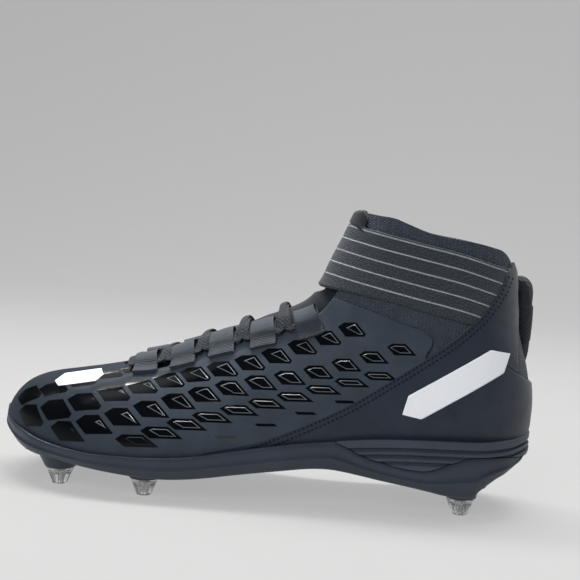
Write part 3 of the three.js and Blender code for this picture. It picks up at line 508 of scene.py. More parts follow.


# Film over the vamp: matte ribs with fine dots between glossy black cells. Each cell is a hexagon worked out from
# its face's place in the cell, (s, t) in millimetres, and its rear part stands up behind a V-shaped edge, along which a
# pale highlight is painted.
def makeFilmMaterial():
    # The edge colour is a painted highlight: a pale tone laid along each cell's V-shaped edge
    look = {"cell": (0.0015, 0.002, 0.003), "rib": (0.038, 0.048, 0.063), "toeRib": (0.014, 0.019, 0.027),
            "edge": (0.16, 0.175, 0.19),
            "dotPitch": 0.62}
    material = newMaterial("film", look["rib"], 0.4, Coat_Roughness=0.04, Specular_IOR_Level=0.12)

    def read(name):
        layer = addNode(material, "ShaderNodeUVMap", uv_map=name)
        parts = addNode(material, "ShaderNodeSeparateXYZ", {"Vector": layer.outputs["UV"]})
        return parts.outputs["X"], parts.outputs["Y"]

    def plane(a, u, b, v, c):
        return maths(material, "MULTIPLY_ADD", u, a, maths(material, "MULTIPLY_ADD", v, b, c))

    def least(first, *others):
        for other in others:
            first = maths(material, "MINIMUM", first, other)
        return first

    s, t = read("cellPlace")
    squash, tail = read("cellShape")
    ridge, size = read("cellRidge")
    leanX, leanY = read("cellLean")
    slant = maths(material, "MULTIPLY_ADD", s, leanX, maths(material, "MULTIPLY", t, leanY))
    slant = maths(material, "ABSOLUTE", slant)
    tall = maths(material, "SUBTRACT", maths(material, "MULTIPLY", squash, cell["top"]), maths(material, "ABSOLUTE", t))
    rear = maths(material, "ADD", tail, plane(-0.83, s, 0.55, t, 0))
    inside = least(maths(material, "SUBTRACT", cell["side"], slant), tall, rear, plane(0.55, s, -0.83, t, cell["corner"]))
    inside = maths(material, "MULTIPLY", inside, size)
    behind = maths(material, "SUBTRACT", s, ridge)
    high = maths(material, "SUBTRACT", t, 1.2)
    raised = least(plane(0.376, behind, -0.926, high, 0), plane(0.453, behind, 0.892, high, 0))
    raised = least(raised, maths(material, "SUBTRACT", inside, cell["ridgeMargin"]))
    rib = remap(material, inside, -cell["edge"], cell["edge"], 1, 0)
    where = objectCoords(material)
    cloudy = remap(material, noise(material, where, 90, 4), 0.35, 0.7, 0, 1)
    ribColor = mixColors(material, cloudy, look["rib"], tuple(0.8 * c for c in look["rib"]))
    parts = addNode(material, "ShaderNodeSeparateXYZ", {"Vector": where})
    toeward = remap(material, parts.outputs["X"], 0.04, 0.105, 0, 1)
    onTop = maths(material, "MULTIPLY", toeward, remap(material, parts.outputs["Z"], 0.035, 0.055, 0.3, 1))
    ribColor = mixColors(material, onTop, ribColor, look["toeRib"])
    flat = mixColors(material, rib, look["cell"], ribColor)
    front = maths(material, "MULTIPLY_ADD", parts.outputs["Z"], -0.8, parts.outputs["X"])
    dull = remap(material, front, 0.062, 0.076, 1, 0.05)
    dull = maths(material, "MULTIPLY", dull, remap(material, parts.outputs["Z"], 0.034, 0.039, 0.1, 1))
    atToe = remap(material, parts.outputs["X"], 0.01, 0.05, 0, 1)
    upper = maths(material, "MULTIPLY", remap(material, parts.outputs["Z"], 0.05, 0.056, 0, 1), atToe)
    topEdge = maths(material, "MULTIPLY", upper, remap(material, t, 0.8, 3, 0, 0.93))
    dull = maths(material, "MULTIPLY", dull, maths(material, "SUBTRACT", 1, topEdge))
    linkTo(material, maths(material, "MULTIPLY", maths(material, "SUBTRACT", 1, rib), dull), "Coat Weight")
    # Painted highlight: the pale edge colour is mixed in along the rising edge of the raised part, most where the cell
    # is glossy
    climb = remap(material, raised, 0, cell["ridgeRise"], 0, 1)
    edge = maths(material, "MULTIPLY", climb, maths(material, "SUBTRACT", 1, climb))
    edge = maths(material, "MULTIPLY", edge, maths(material, "MULTIPLY", dull, 3.6))
    linkTo(material, mixColors(material, edge, flat, look["edge"]), "Base Color")
    rough = maths(material, "MULTIPLY_ADD", noise(material, where, 900, 2), 0.12, 0.30)
    rubbed = maths(material, "MULTIPLY_ADD", dull, -0.3, 0.36)
    linkTo(material, maths(material, "MULTIPLY_ADD", rib, rough, rubbed), "Roughness")
    dots = addNode(material, "ShaderNodeTexVoronoi", {"Vector": where, "Scale": 1000 / look["dotPitch"], "Randomness": 0.25})
    dot = maths(material, "MULTIPLY", remap(material, dots.outputs["Distance"], 0.15, 0.5, 1, 0), rib)
    addBump(material, dot, 0.05, 0.8)
    step = maths(material, "SMOOTH_MIN", maths(material, "MAXIMUM", raised, 0), cell["ridgeRise"], 0.3)
    low = maths(material, "MULTIPLY", maths(material, "MULTIPLY", upper, cell["tilt"]), t)
    addBump(material, maths(material, "ADD", step, maths(material, "MULTIPLY", low, remap(material, rib, 0, 0.1, 1, 0))), 0.9, 1)
    addBump(material, noise(material, where, 60, 3), 0.25, 0.5)
    return material


# Knit: slanting stitches both ways with dark holes between them, and a slight change of tone
def makeKnitMaterial(name, color, pitch, depth):
    material = newMaterial(name, color, 0.88, Sheen_Weight=0.08, Sheen_Roughness=0.5)
    where = objectCoords(material)
    cells = addNode(material, "ShaderNodeTexVoronoi", {"Vector": objectCoords(material, scale=(1, 1, 1.7)), "Scale": 620 / pitch, "Randomness": 0.35})
    hole = remap(material, cells.outputs["Distance"], 0.15, 0.6, 0, 1)
    slants = []
    for lean in (0.9, -0.9):
        slanted = objectCoords(material, turn=(0, lean, 0))
        inputs = {"Vector": slanted, "Scale": 314 / pitch, "Distortion": 1.5, "Detail": 1}
        slants.append(addNode(material, "ShaderNodeTexWave", inputs, bands_direction="X").outputs["Fac"])
    stitch = maths(material, "MULTIPLY", maths(material, "MAXIMUM", *slants), maths(material, "SUBTRACT", 1, maths(material, "MULTIPLY", hole, 0.6)))
    tone = remap(material, noise(material, where, 300, 3), 0.3, 0.7, 0, 1)
    shade = mixColors(material, tone, color, tuple(1.35 * c for c in color))
    linkTo(material, mixColors(material, stitch, tuple(0.3 * c for c in color), shade), "Base Color")
    addBump(material, stitch, depth, 1)
    return material


# Synthetic cloth of the quarter: a tight weave with faint upright ribs
def makeQuarterMaterial():
    color = (0.012, 0.017, 0.028)
    material = newMaterial("synthetic", color, 0.62, Sheen_Weight=0.15)
    where = objectCoords(material)
    weave = addNode(material, "ShaderNodeTexWave", {"Vector": where, "Scale": 480, "Distortion": 0.4}, bands_direction="X")
    cross = addNode(material, "ShaderNodeTexWave", {"Vector": where, "Scale": 620, "Distortion": 0.4}, bands_direction="Z")
    cloth = maths(material, "MULTIPLY", weave.outputs["Fac"], cross.outputs["Fac"])
    tone = remap(material, noise(material, where, 45, 4), 0.3, 0.7, 0, 1)
    linkTo(material, mixColors(material, tone, color, tuple(1.25 * c for c in color)), "Base Color")
    linkTo(material, remap(material, noise(material, where, 120, 3), 0.3, 0.7, 0.55, 0.72), "Roughness")
    addBump(material, cloth, 0.05, 0.7)
    return material


# Strap: heather knit with pale speckled lines at an even pitch under its top edge, from the strap's own UV map
def makeStrapMaterial(strap):
    color, pale = (0.030, 0.035, 0.045), (0.36, 0.39, 0.43)
    material = newMaterial("strapKnit", color, 0.86, Sheen_Weight=0.1)
    where = uvCoords(material)
    parts = addNode(material, "ShaderNodeSeparateXYZ", {"Vector": where})
    down = parts.outputs["Y"]
    speck = noise(material, where, 1500, 2, 0.7)
    line = maths(material, "MODULO", maths(material, "ADD", down, (0.5 * strap["linePitch"] - strap["firstLine"]) * mm), strap["linePitch"] * mm)
    near = maths(material, "ABSOLUTE", maths(material, "SUBTRACT", line, 0.5 * strap["linePitch"] * mm))
    onLine = remap(material, near, 0.2 * mm, 0.55 * mm, 1, 0)
    last = remap(material, down, (4.6 * strap["linePitch"]) * mm, (4.7 * strap["linePitch"]) * mm, 1, 0)
    onLine = maths(material, "MULTIPLY", onLine, last)
    threads = remap(material, speck, 0.32, 0.6, 0.15, 1)
    heather = remap(material, noise(material, where, 1100, 3, 0.8), 0.42, 0.62, 0, 1)
    ground = mixColors(material, heather, tuple(0.45 * c for c in color), tuple(1.7 * c for c in color))
    linkTo(material, mixColors(material, maths(material, "MULTIPLY", onLine, threads), ground, pale), "Base Color")
    rows = addNode(material, "ShaderNodeTexWave", {"Vector": where, "Scale": 330, "Distortion": 1.2, "Detail": 1}, bands_direction="Y")
    wales = addNode(material, "ShaderNodeTexWave", {"Vector": where, "Scale": 300, "Distortion": 0.8, "Detail": 1}, bands_direction="X")
    addBump(material, maths(material, "ADD", rows.outputs["Fac"], wales.outputs["Fac"]), 0.16, 0.8)
    addBump(material, onLine, 0.25, 0.8)
    return material


# Webbing: ribs across the strip below its smooth fold, from its UV map
def makeWebbingMaterial():
    color = (0.034, 0.042, 0.055)
    material = newMaterial("webbing", color, 0.75, Sheen_Weight=0.06)
    where = uvCoords(material)
    down = addNode(material, "ShaderNodeSeparateXYZ", {"Vector": where}).outputs["Y"]
    ribbed = remap(material, down, 29.5 * mm, 30.5 * mm, 0, 1)
    ribs = addNode(material, "ShaderNodeTexWave", {"Vector": where, "Scale": 300, "Distortion": 0.3}, bands_direction="Y")
    fine = addNode(material, "ShaderNodeTexWave", {"Vector": where, "Scale": 800, "Distortion": 0.5}, bands_direction="X")
    rib = maths(material, "MULTIPLY", ribs.outputs["Fac"], ribbed)
    tone = remap(material, noise(material, where, 220, 4), 0.3, 0.7, 0, 0.6)
    shade = mixColors(material, tone, color, tuple(0.7 * c for c in color))
    linkTo(material, mixColors(material, maths(material, "MULTIPLY", rib, 0.5), shade, tuple(0.35 * c for c in color)), "Base Color")
    addBump(material, maths(material, "MULTIPLY_ADD", fine.outputs["Fac"], 0.12, rib), 0.3, 0.8)
    creases = noise(material, uvCoords(material, scale=(0.25, 1, 1)), 420, 3, 0.5)
    addBump(material, creases, 0.7, 0.5)
    return material


# Lace and braid: slanting stitches both ways, from the piece's UV map
def makeBraidMaterial(name, color, pitch, depth):
    material = newMaterial(name, color, 0.85, Sheen_Weight=0.08)
    where = uvCoords(material)
    scale = 314 / pitch / 2
    one = addNode(material, "ShaderNodeTexWave", {"Vector": uvCoords(material, turn=(0, 0, 0.7)), "Scale": scale, "Distortion": 0.5}, bands_direction="X")
    two = addNode(material, "ShaderNodeTexWave", {"Vector": uvCoords(material, turn=(0, 0, -0.7)), "Scale": scale, "Distortion": 0.5}, bands_direction="X")
    stitch = maths(material, "MAXIMUM", one.outputs["Fac"], two.outputs["Fac"])
    tone = noise(material, where, 700, 3)
    light = tuple(1.5 * c for c in color)
    shade = mixColors(material, remap(material, tone, 0.35, 0.65, 0, 1), color, light)
    linkTo(material, mixColors(material, stitch, tuple(0.5 * c for c in color), shade), "Base Color")
    addBump(material, stitch, depth, 0.9)
    return material


# Moulded plastic of the plate and foam of the midsole: satin, with fine scuffs and a soft unevenness
def makeMouldedMaterial(name, color, roughness):
    material = newMaterial(name, color, roughness, Specular_IOR_Level=0.45)
    where = objectCoords(material)
    tone = remap(material, noise(material, where, 38, 5), 0.3, 0.7, 0, 1)
    linkTo(material, mixColors(material, tone, color, tuple(1.3 * c for c in color)), "Base Color")
    scuff = noise(material, objectCoords(material, scale=(1, 1, 6)), 160, 5, 0.65)
    linkTo(material, remap(material, scuff, 0.3, 0.7, roughness - 0.07, roughness + 0.12), "Roughness")
    addBump(material, noise(material, where, 1400, 2), 0.03, 0.5)
    addBump(material, noise(material, where, 70, 2), 0.25, 0.35)
    return material


def makeClearMaterial():
    material = newMaterial("clearStud", (0.86, 0.88, 0.87), 0.08, Transmission_Weight=0.9, IOR=1.49, Coat_Weight=0.2)
    where = objectCoords(material)
    linkTo(material, remap(material, noise(material, where, 260, 4), 0.3, 0.7, 0.04, 0.16), "Roughness")
    addBump(material, noise(material, where, 420, 3), 0.12, 0.5)
    return material


def makePlainMaterial(name, color, roughness, grain, depth, fade=0.8, **sockets):
    material = newMaterial(name, color, roughness, **sockets)
    where = objectCoords(material)
    tone = remap(material, noise(material, where, grain, 4), 0.3, 0.7, 0, 1)
    linkTo(material, mixColors(material, tone, color, tuple(fade * c for c in color)), "Base Color")
    addBump(material, noise(material, where, 4 * grain, 3), depth, 0.6)
    return material


filmMaterial = makeFilmMaterial()
knitMaterial = makeKnitMaterial("knit", (0.052, 0.064, 0.086), 1.3, 0.6)
tongueMaterial = makeKnitMaterial("tongueKnit", (0.013, 0.017, 0.024), 0.7, 0.15)
quarterMaterial = makeQuarterMaterial()
webbingMaterial = makeWebbingMaterial()
laceMaterial = makeBraidMaterial("laceKnit", (0.009, 0.012, 0.018), 0.9, 0.35)
cordMaterial = makeBraidMaterial("cordBraid", (0.016, 0.019, 0.026), 0.9, 0.35)
plateMaterial = makeMouldedMaterial("plate", (0.019, 0.025, 0.036), 0.38)
midsoleMaterial = makeMouldedMaterial("midsoleFoam", (0.030, 0.037, 0.051), 0.48)
insoleMaterial = makePlainMaterial("insoleCloth", (0.018, 0.019, 0.022), 0.9, 300, 0.1, Sheen_Weight=0.3)
stitchMaterial = makePlainMaterial("stitchThread", (0.004, 0.005, 0.008), 0.6, 900, 0.05)
markMaterial = makePlainMaterial("whitePrint", (0.72, 0.74, 0.79), 0.45, 500, 0.02, fade=0.97)
metalMaterial = makePlainMaterial("studCore", (0.62, 0.62, 0.6), 0.3, 400, 0.05, Metallic=0.85)
clearMaterial = makeClearMaterial()
print("materials made")

# Cells of the film: rows from the toe back, with every third cell's place in the side view. Size, squash and the
# start of the raised part go from the first cell to the last; tail is how far the lower rear corner reaches.
cellRows = [
    {"at": [(295, 48.8), (247.9, 63.8), (207, 75)], "step": 3, "size": (1.18, 0.97), "squash": (1, 0.9),
     "ridge": (8, 7, 6), "tail": 9.4, "lean": 37},
    {"at": [(290.4, 38.8), (240.8, 55.9), (194.6, 69.8), (149, 83.8), (107, 102)], "step": 3, "size": (1.23, 0.88),
     "squash": (1, 0.95), "ridge": (8, -3, -3.5), "tail": 9.8, "lean": 39},
    {"at": [(265.4, 34.3), (217.8, 50.3), (173.1, 65), (124.8, 77), (79, 93.5)], "step": 3, "size": (1.1, 0.79),
     "squash": (1, 0.85), "ridge": (3, -6, -7.5), "tail": 12.2, "lean": 43},
    {"at": [(224.3, 33.3), (182.8, 49), (137.4, 62.8), (90, 77.8)], "step": 3, "size": (1, 0.8), "squash": (0.68, 0.6),
     "ridge": (-5, -8.5, -9), "tail": 15.2, "lean": 54},
    {"at": [(173, 39), (108, 62)], "step": 3, "size": (0.6, 0.55), "squash": (0.25, 0.3), "ridge": (9, 9, 9), "tail": 12, "lean": 54},
]
# Centres, heelward and upward directions and shape of all cells on one side
def layCells(side):
    x, z, size, squash, ridge, tail, lean = [], [], [], [], [], [], []
    for row in cellRows:
        knots = np.array(row["at"], float)
        order = np.arange(len(knots)) * row["step"]
        count = order[-1] + 1
        f = np.linspace(0, 1, count)
        x.append(smoothAt(order, knots[:, 0], np.arange(count)))
        z.append(smoothAt(order, knots[:, 1], np.arange(count)))
        size.append(np.interp(f, (0, 1), row["size"]))
        squash.append(np.interp(f, (0, 1), row["squash"]))
        ridge.append(np.interp(f, (0, 0.5, 1), row["ridge"]))
        tail.append(np.full(count, row["tail"]))
        lean.append(np.full(count, math.radians(row["lean"])))
    x, z, size, squash, ridge, tail, lean = (np.concatenate(v) for v in (x, z, size, squash, ridge, tail, lean))
    place, turn = findOnSide(x, z)
    centre = bareForm(place, side * turn)
    normal = formNormal(place, side * turn)
    back = np.array([-1.0, 0, 0.06])
    heelward = unit(back - normal * (normal @ back)[:, None])
    upward = np.cross(normal, heelward) * side
    upward *= np.sign(upward[:, 2:3])
    return centre, heelward, upward, size, squash, tail, ridge, lean


# Which cell each point is nearest to: the one whose widest half plane it passes least
def nearestCell(points, cells):
    centre, heelward, upward, size, squash, tail, ridge, lean = cells
    best, owner = np.full(len(points), -30.0), np.zeros(len(points), int)
    for i in range(len(centre)):
        gap = points - centre[i]
        near = np.flatnonzero((gap * gap).sum(1) < 30**2)
        s, t = gap[near] @ heelward[i] / size[i], gap[near] @ upward[i] / size[i]
        inside = np.minimum(cell["side"] - np.abs(np.cos(lean[i]) * s + np.sin(lean[i]) * t), cell["top"] * squash[i] - np.abs(t))
        inside = np.minimum(inside, tail[i] - 0.83 * s + 0.55 * t) * size[i]
        better = inside > best[near]
        best[near[better]] = inside[better]
        owner[near[better]] = i
    return owner, best > -29


film = {"tuck": 3.5, "lap": 2.5, "top": 1.6, "back": 0.3, "places": 330, "rows": 262, "lastPlace": 19.7}


def filmRegion(points, place, turn):
    x, z = points[..., 0], points[..., 2]
    low = aboveFeather(points, film["tuck"])
    behind = x - lineX(quarterSeam, z) + film["lap"]
    over = x - lineX(skinTop, z)
    return np.minimum(np.minimum(low, behind), np.minimum(over, besideThroat(points, place, turn, throat["margin"])))


def makeFilm(side, name, nodes):
    places = evenPlaces(0.01, film["lastPlace"], film["places"])
    shell = formShell(side, places, filmRegion, film["rows"], 3, constant(film["top"]), constant(film["back"]))
    base, normal, offset, place, turn, reach = shell
    points = base + normal * offset[..., None]
    faces = gridFaces(points.shape[0], points.shape[1], True)
    centre, heelward, upward, size, squash, tail, ridge, lean = cells = layCells(side)
    flat = base.reshape(-1, 3)
    owner, near = nearestCell(flat[faces].mean(1), cells)
    gap = flat[faces] - centre[owner][:, None]
    s = (gap * heelward[owner][:, None]).sum(2) / size[owner][:, None]
    t = (gap * upward[owner][:, None]).sum(2) / size[owner][:, None]
    s = np.where(near[:, None], s, 99)
    same = np.ones_like(s)
    corners = {
        "cellPlace": np.stack([s, t], -1),
        "cellShape": np.stack([squash[owner][:, None] * same, tail[owner][:, None] * same], -1),
        "cellLean": np.stack([np.cos(lean[owner])[:, None] * same, np.sin(lean[owner])[:, None] * same], -1),
        "cellRidge": np.stack([ridge[owner][:, None] * same, size[owner][:, None] * same], -1),
    }
    return addPiece(name, points, faces, filmMaterial, nodes, corners=corners)


makeFilm(1, "vampFilmOuter", ["vamp_skin"])
makeFilm(-1, "vampFilmInner", ["vamp_skin"])
print("film made")

# Knit upper: one wall from the floor of the sole to the collar, open at the throat and underneath
knit = {"wall": 2.2, "reach": 7, "places": 330, "rows": 90, "innerRows": 40}


def knitRegion(points, place, turn):
    x, z = points[..., 0], points[..., 2]
    floor = z - soleHeight(floorLine, x) - 0.3
    collar = lineHeight(collarLine, x) - z
    over = knit["reach"] * ease((z - lineHeight(strapTop, x) + 4) / 6)
    return np.minimum(np.minimum(floor, collar), besideThroat(points, place, turn, -over))


def makeKnit():
    places = np.concatenate([evenPlaces(0.01, 22, knit["places"] // 2, 0.75), np.linspace(22.01, lastPlace, knit["places"] // 2)])
    for side, name in ((1, "knitUpperOuter"), (-1, "knitUpperInner")):
        shell = formShell(side, places, knitRegion, knit["rows"], knit["innerRows"], constant(0), constant(-knit["wall"]), 1.1)
        base, normal, offset, place, turn, reach = shell
        points = base + normal * offset[..., None]
        addPiece(name, points, gridFaces(*points.shape[:2], True), knitMaterial, ["upper"])


makeKnit()
print("knit made")

# Quarter: wraps the heel behind the seam, with a channel up its back for the pull loop
quarter = {"tuck": 3.5, "top": 1.7, "back": 0.3, "places": 240, "rows": 110}


def quarterRegion(points, place, turn):
    x, z = points[..., 0], points[..., 2]
    behind = lineX(quarterSeam, z) - x
    low = aboveFeather(points, quarter["tuck"])
    channel = x - lineX(heelNotch, z)
    channel = np.where((z > riseHeight(67)) & (z < riseHeight(153)), channel, 50)
    collar = lineHeight(collarLine, x) - z
    return np.minimum(np.minimum(behind, low), np.minimum(channel, collar + 0.5))


def quarterTop(points, place, turn):
    tucked = ease((aboveFeather(points, 0) - 0.5) / 3)
    return 1.35 + (quarter["top"] - 1.35) * tucked


def makeQuarter():
    places = np.concatenate([evenPlaces(9.6, 19, quarter["places"] // 2, 0.3), np.linspace(19.03, lastPlace, quarter["places"] // 2)])
    for side, name in ((1, "heelQuarterOuter"), (-1, "heelQuarterInner")):
        shell = formShell(side, places, quarterRegion, quarter["rows"], 3, quarterTop, constant(quarter["back"]))
        base, normal, offset, place, turn, reach = shell
        points = base + normal * offset[..., None]
        addPiece(name, points, gridFaces(*points.shape[:2], True), quarterMaterial, ["heel_quarter"])


makeQuarter()
print("quarter made")

# Strap: a band of even columns round the front of the ankle, each between the strap's two lines
strap = {"top": 2.3, "back": 0.3, "tucked": 1.1, "lap": 2.5, "columns": 260, "rows": 60, "linePitch": 7.2, "firstLine": 1.6}


def makeStrap():
    way = np.concatenate([1 - evenTurns(400)[::-1], []])
    way = way[(way < 0.86)]
    fine = np.linspace(14.5, 26.9, 700)
    points = bareForm(np.full_like(way, 21.0), 1 - way)
    reach = np.concatenate([[0], np.cumsum(np.linalg.norm(np.diff(points, axis=0), axis=1))])
    half = np.interp(np.linspace(0, reach[-1], strap["columns"] // 2), reach, way)
    ways = np.concatenate([-half[:0:-1], half])
    turns = np.where(ways < 0, -(1 + ways), 1 - ways)
    turns = np.where(ways == 0, 1, turns)
    along = np.concatenate([-np.interp(half[:0:-1], way, reach), np.interp(half, way, reach)])
    net = bareForm(fine[None], turns[:, None])
    x, z = net[..., 0], net[..., 2]
    value = np.minimum(z - lineHeight(strapLow, x), lineHeight(strapTop, x) - z)
    value = np.minimum(value, x - lineX(quarterSeam, z) + strap["lap"])
    steps = np.broadcast_to(fine[None], value.shape)
    low, high, valid = insideRun(value, steps)
    turns, along, low, high = turns[valid, None], along[valid, None], low[valid, None], high[valid, None]
    edge = np.array([0, 0.0015, 0.006, 0.014, 0.024])
    part = np.concatenate([edge, np.linspace(0.04, 0.96, strap["rows"]), 1 - edge[::-1], np.linspace(1, 0, 8)])[None]
    place = low + (high - low) * part
    turn = np.broadcast_to(turns, place.shape)
    base, normal = bareForm(place, turn), formNormal(place, turn)
    near = np.minimum(part, 1 - part) / 0.026
    round_ = np.sqrt(np.clip(near, 0, 1) * (2 - np.clip(near, 0, 1)))
    round_[:, -8:] = 0
    ahead = base[..., 0] - lineX(quarterSeam, base[..., 2])
    top = strap["tucked"] + (strap["top"] - strap["tucked"]) * ease((ahead + 0.5) / 5)
    points = base + normal * (strap["back"] + (top - strap["back"]) * round_)[..., None]
    down = (lineHeight(strapTop, base[..., 0]) - base[..., 2]) * 0.96
    uv = np.stack([np.broadcast_to(along, down.shape), down], -1) * mm
    addPiece("ankleStrap", points, gridFaces(*points.shape[:2], True), makeStrapMaterial(strap), ["ankle_strap"], uv=uv)


makeStrap()
print("strap made")

# Tongue: lies under the throat's edges and crowns between them; its padded top stands out over the strap
tongue = {"under": 8, "face": -2.9, "crown": 2.6, "lip": 2.7, "overlap": -2, "back": -5.8, "rows": 260, "columns": 80}


def makeTongue():
    across = np.linspace(-1, 1, tongue["columns"])
    fine = np.linspace(-6, throatReach[-1] - 0.5, 900)

    def widthAt(distance):
        lip = ease((np.asarray(distance) - strapEnd + 2) / 6)
        wide = np.maximum(throatHalf(np.maximum(distance, 9)), 8) + tongue["under"]
        return wide * (1 - lip) + (throatHalf(distance) + tongue["overlap"]) * lip

    top = bareForm(placeBehind(fine), np.ones_like(fine))
    onStrap = top[:, 2] - lineHeight(strapTop, top[:, 0])
    strapEnd = np.interp(0, onStrap[300:], fine[300:])
    strapStart = np.interp(0, (top[:, 2] - lineHeight(strapLow, top[:, 0]))[300:], fine[300:])
    late = fine[fine > strapEnd][:, None]
    way = np.broadcast_to(np.abs(across), (len(late), len(across)))
    net = bareForm(placeBehind(late), turnAtWidth(placeBehind(late), way * widthAt(late), 1.0))
    beyond = net[..., 2] - lineHeight(tongueTop, net[..., 0])
    end = np.array([np.interp(0, beyond[:, i], late[:, 0]) for i in range(len(across))])
    part = np.concatenate([np.linspace(0, 1, tongue["rows"]), np.linspace(1, 0, 60)])[:, None]
    last = (np.minimum(end, end[len(end) // 2] + 3) - 4 * across**6)[None]
    distance = -6 + (last + 6) * part
    place = placeBehind(distance)
    y = np.abs(across)[None] * widthAt(distance)
    side = np.where(across[None] < 0, -1.0, 1.0)
    turn = turnAtWidth(place, y, side)
    base, normal = bareForm(place, turn), formNormal(place, turn)
    free = ease((distance - 2) / 12) * (1 - ease((distance - strapStart + 6) / 6))
    lip = ease((distance - strapEnd + 2.2) / 3)
    hump = np.cos(np.clip(y / np.maximum(throatHalf(distance), 8), 0, 1) * np.pi / 2) ** 0.8
    outer = tongue["face"] + (tongue["crown"] + 1.2) * hump * free
    outer = outer * (1 - lip) + (tongue["lip"] - 1.2 * np.abs(across)[None] ** 6) * lip
    left = np.clip((last - distance) / 3.2, 0, 1)
    roll = np.sqrt(left * (2 - left))
    beyond = lip * ease((y - throatHalf(distance) + knit["reach"] + 1) / 1.2)  # where the padded top lies over the collar's edge
    deep = tongue["back"] * (1 - beyond) + 0.35 * beyond
    middle = 0.5 * (outer + deep)
    outer = middle + (outer - middle) * roll
    inner = middle + (deep - middle) * roll
    back = np.arange(len(part)) >= tongue["rows"]
    offset = np.where(back[:, None], inner, outer)
    points = base + normal * offset[..., None]
    rows, columns = points.shape[:2]
    faces = gridFaces(rows, columns)
    addPiece("tongueKnit", points, faces, tongueMaterial, ["tongue"])


makeTongue()
print("tongue made")

# Lace loops: a webbing strip that lies on the film, turns over the lace and comes back on itself
loops = {
    "count": 5,
    "pitch": 24.3,
    "width": 15,
    "first": 19.5,
    "base": 2.4,
    "tail": 13,
    "thick": 1.0,
    # way down the side and height over the base of the strip's middle line
    "line": table(("down", "out"), [(12.5, 0), (6, 0), (-1.6, 0.1), (-4.4, 0.7), (-5.4, 2.2), (-4.2, 3.8), (-0.6, 4.6),
                                   (3.6, 4.0), (6.6, 2.0), (8.6, 1.3), (12.5, 1.25)]),
    "steps": 110,
    "rows": 26,
}
loopHollow = loops["base"] + 2.0


def loopCentre(i):
    return loops["first"] + i * loops["pitch"]


# Points beside the throat: down is the arc from its edge down the side, negative over the throat; out is the height
def besideEdge(distance, down, out, side):
    distance, down, out = (v.copy() for v in np.broadcast_arrays(np.asarray(distance, float), down, out))
    place = placeBehind(distance)
    start = np.abs(turnAtWidth(place, throatHalf(distance) + throat["margin"], side))
    ways = np.linspace(0, 0.3, 140)
    track = bareForm(place[..., None], side * (start[..., None] - ways))
    reach = np.concatenate([np.zeros(track.shape[:-2] + (1,)), np.cumsum(np.linalg.norm(np.diff(track, axis=-2), axis=-1), -1)], -1)
    flatReach, flatDown = reach.reshape(-1, len(ways)), np.maximum(down, 0).ravel()
    way = np.array([np.interp(flatDown[i], flatReach[i], ways) for i in range(len(flatDown))]).reshape(down.shape)
    turn = side * (start - way)
    base, normal = bareForm(place, turn), formNormal(place, turn)
    inward = unit(bareForm(place, side * np.minimum(start + 0.01, 1)) - bareForm(place, side * start))
    return base + normal * out[..., None] + inward * np.maximum(-down, 0)[..., None]


def curveThrough(columns, count, step=None):
    columns = [np.asarray(c, float) for c in columns]
    gaps = np.sqrt(sum(np.diff(c) ** 2 for c in columns))
    reach = np.concatenate([[0], np.cumsum(gaps)])
    at = np.linspace(0, reach[-1], count)
    return [smoothAt(reach, c, at) for c in columns], at


def makeLoops():
    (down, out), reach = curveThrough([loops["line"]["down"], loops["line"]["out"]], loops["steps"])
    ahead = unit(np.stack([np.gradient(down), np.gradient(out)], -1))
    half = loops["thick"] / 2
    left = np.stack([down - ahead[:, 1] * half, out + ahead[:, 0] * half], -1)
    right = np.stack([down + ahead[:, 1] * half, out - ahead[:, 0] * half], -1)
    outline = np.concatenate([left, right[::-1]])
    along = np.concatenate([reach, reach[::-1]])
    wide = np.linspace(-0.5, 0.5, loops["rows"])
    pinch = 1 - 0.35 * np.clip(np.abs(wide) * 2 - 0.93, 0, 1) / 0.07
    middle = np.concatenate([np.stack([down, out], -1), np.stack([down, out], -1)[::-1]])
    for i in range(loops["count"]):
        for side, word in ((1, "outer"), (-1, "inner")):
            shaped = middle[None] + (outline - middle)[None] * pinch[:, None, None]
            waist = 1 - 0.10 * np.exp(-((along - 22) / 7) ** 2)  # the fold draws in where it turns over the lace
            sag = 0.35 * np.sin(along / 3.1 + i) * np.exp(-((along - 27) / 9) ** 2)
            centre, down = loopCentre(i), shaped[..., 0]
            rough = [besideEdge(centre + way * 7.5, down[0], 0 * down[0] + loops["base"], side) for way in (-1, 1)]
            fan = 15 / np.linalg.norm(rough[1] - rough[0], axis=-1)  # rings fan out down the side, the strip does not
            distance = centre + wide[:, None] * loops["width"] * (waist * fan)[None]
            points = besideEdge(distance, down, shaped[..., 1] + loops["base"] + sag[None], side)
            uv = np.stack(np.broadcast_arrays(wide[:, None] * loops["width"], along[None]), -1) * mm
            name = f"laceLoop{word.capitalize()}{i + 1}"
            addPiece(name, points, gridFaces(*points.shape[:2], True), webbingMaterial, [f"lace_loop_{word}_{i + 1}"], uv=uv)


makeLoops()
print("loops made")

# Lace: a bar in front of the first loops, then two runs that cross between the pairs
lace = {"width": 4.6, "thick": 1.5, "lift": 3.4, "over": 0.85, "sides": 16, "step": 0.6, "dip": 3.6, "side": 4.8}


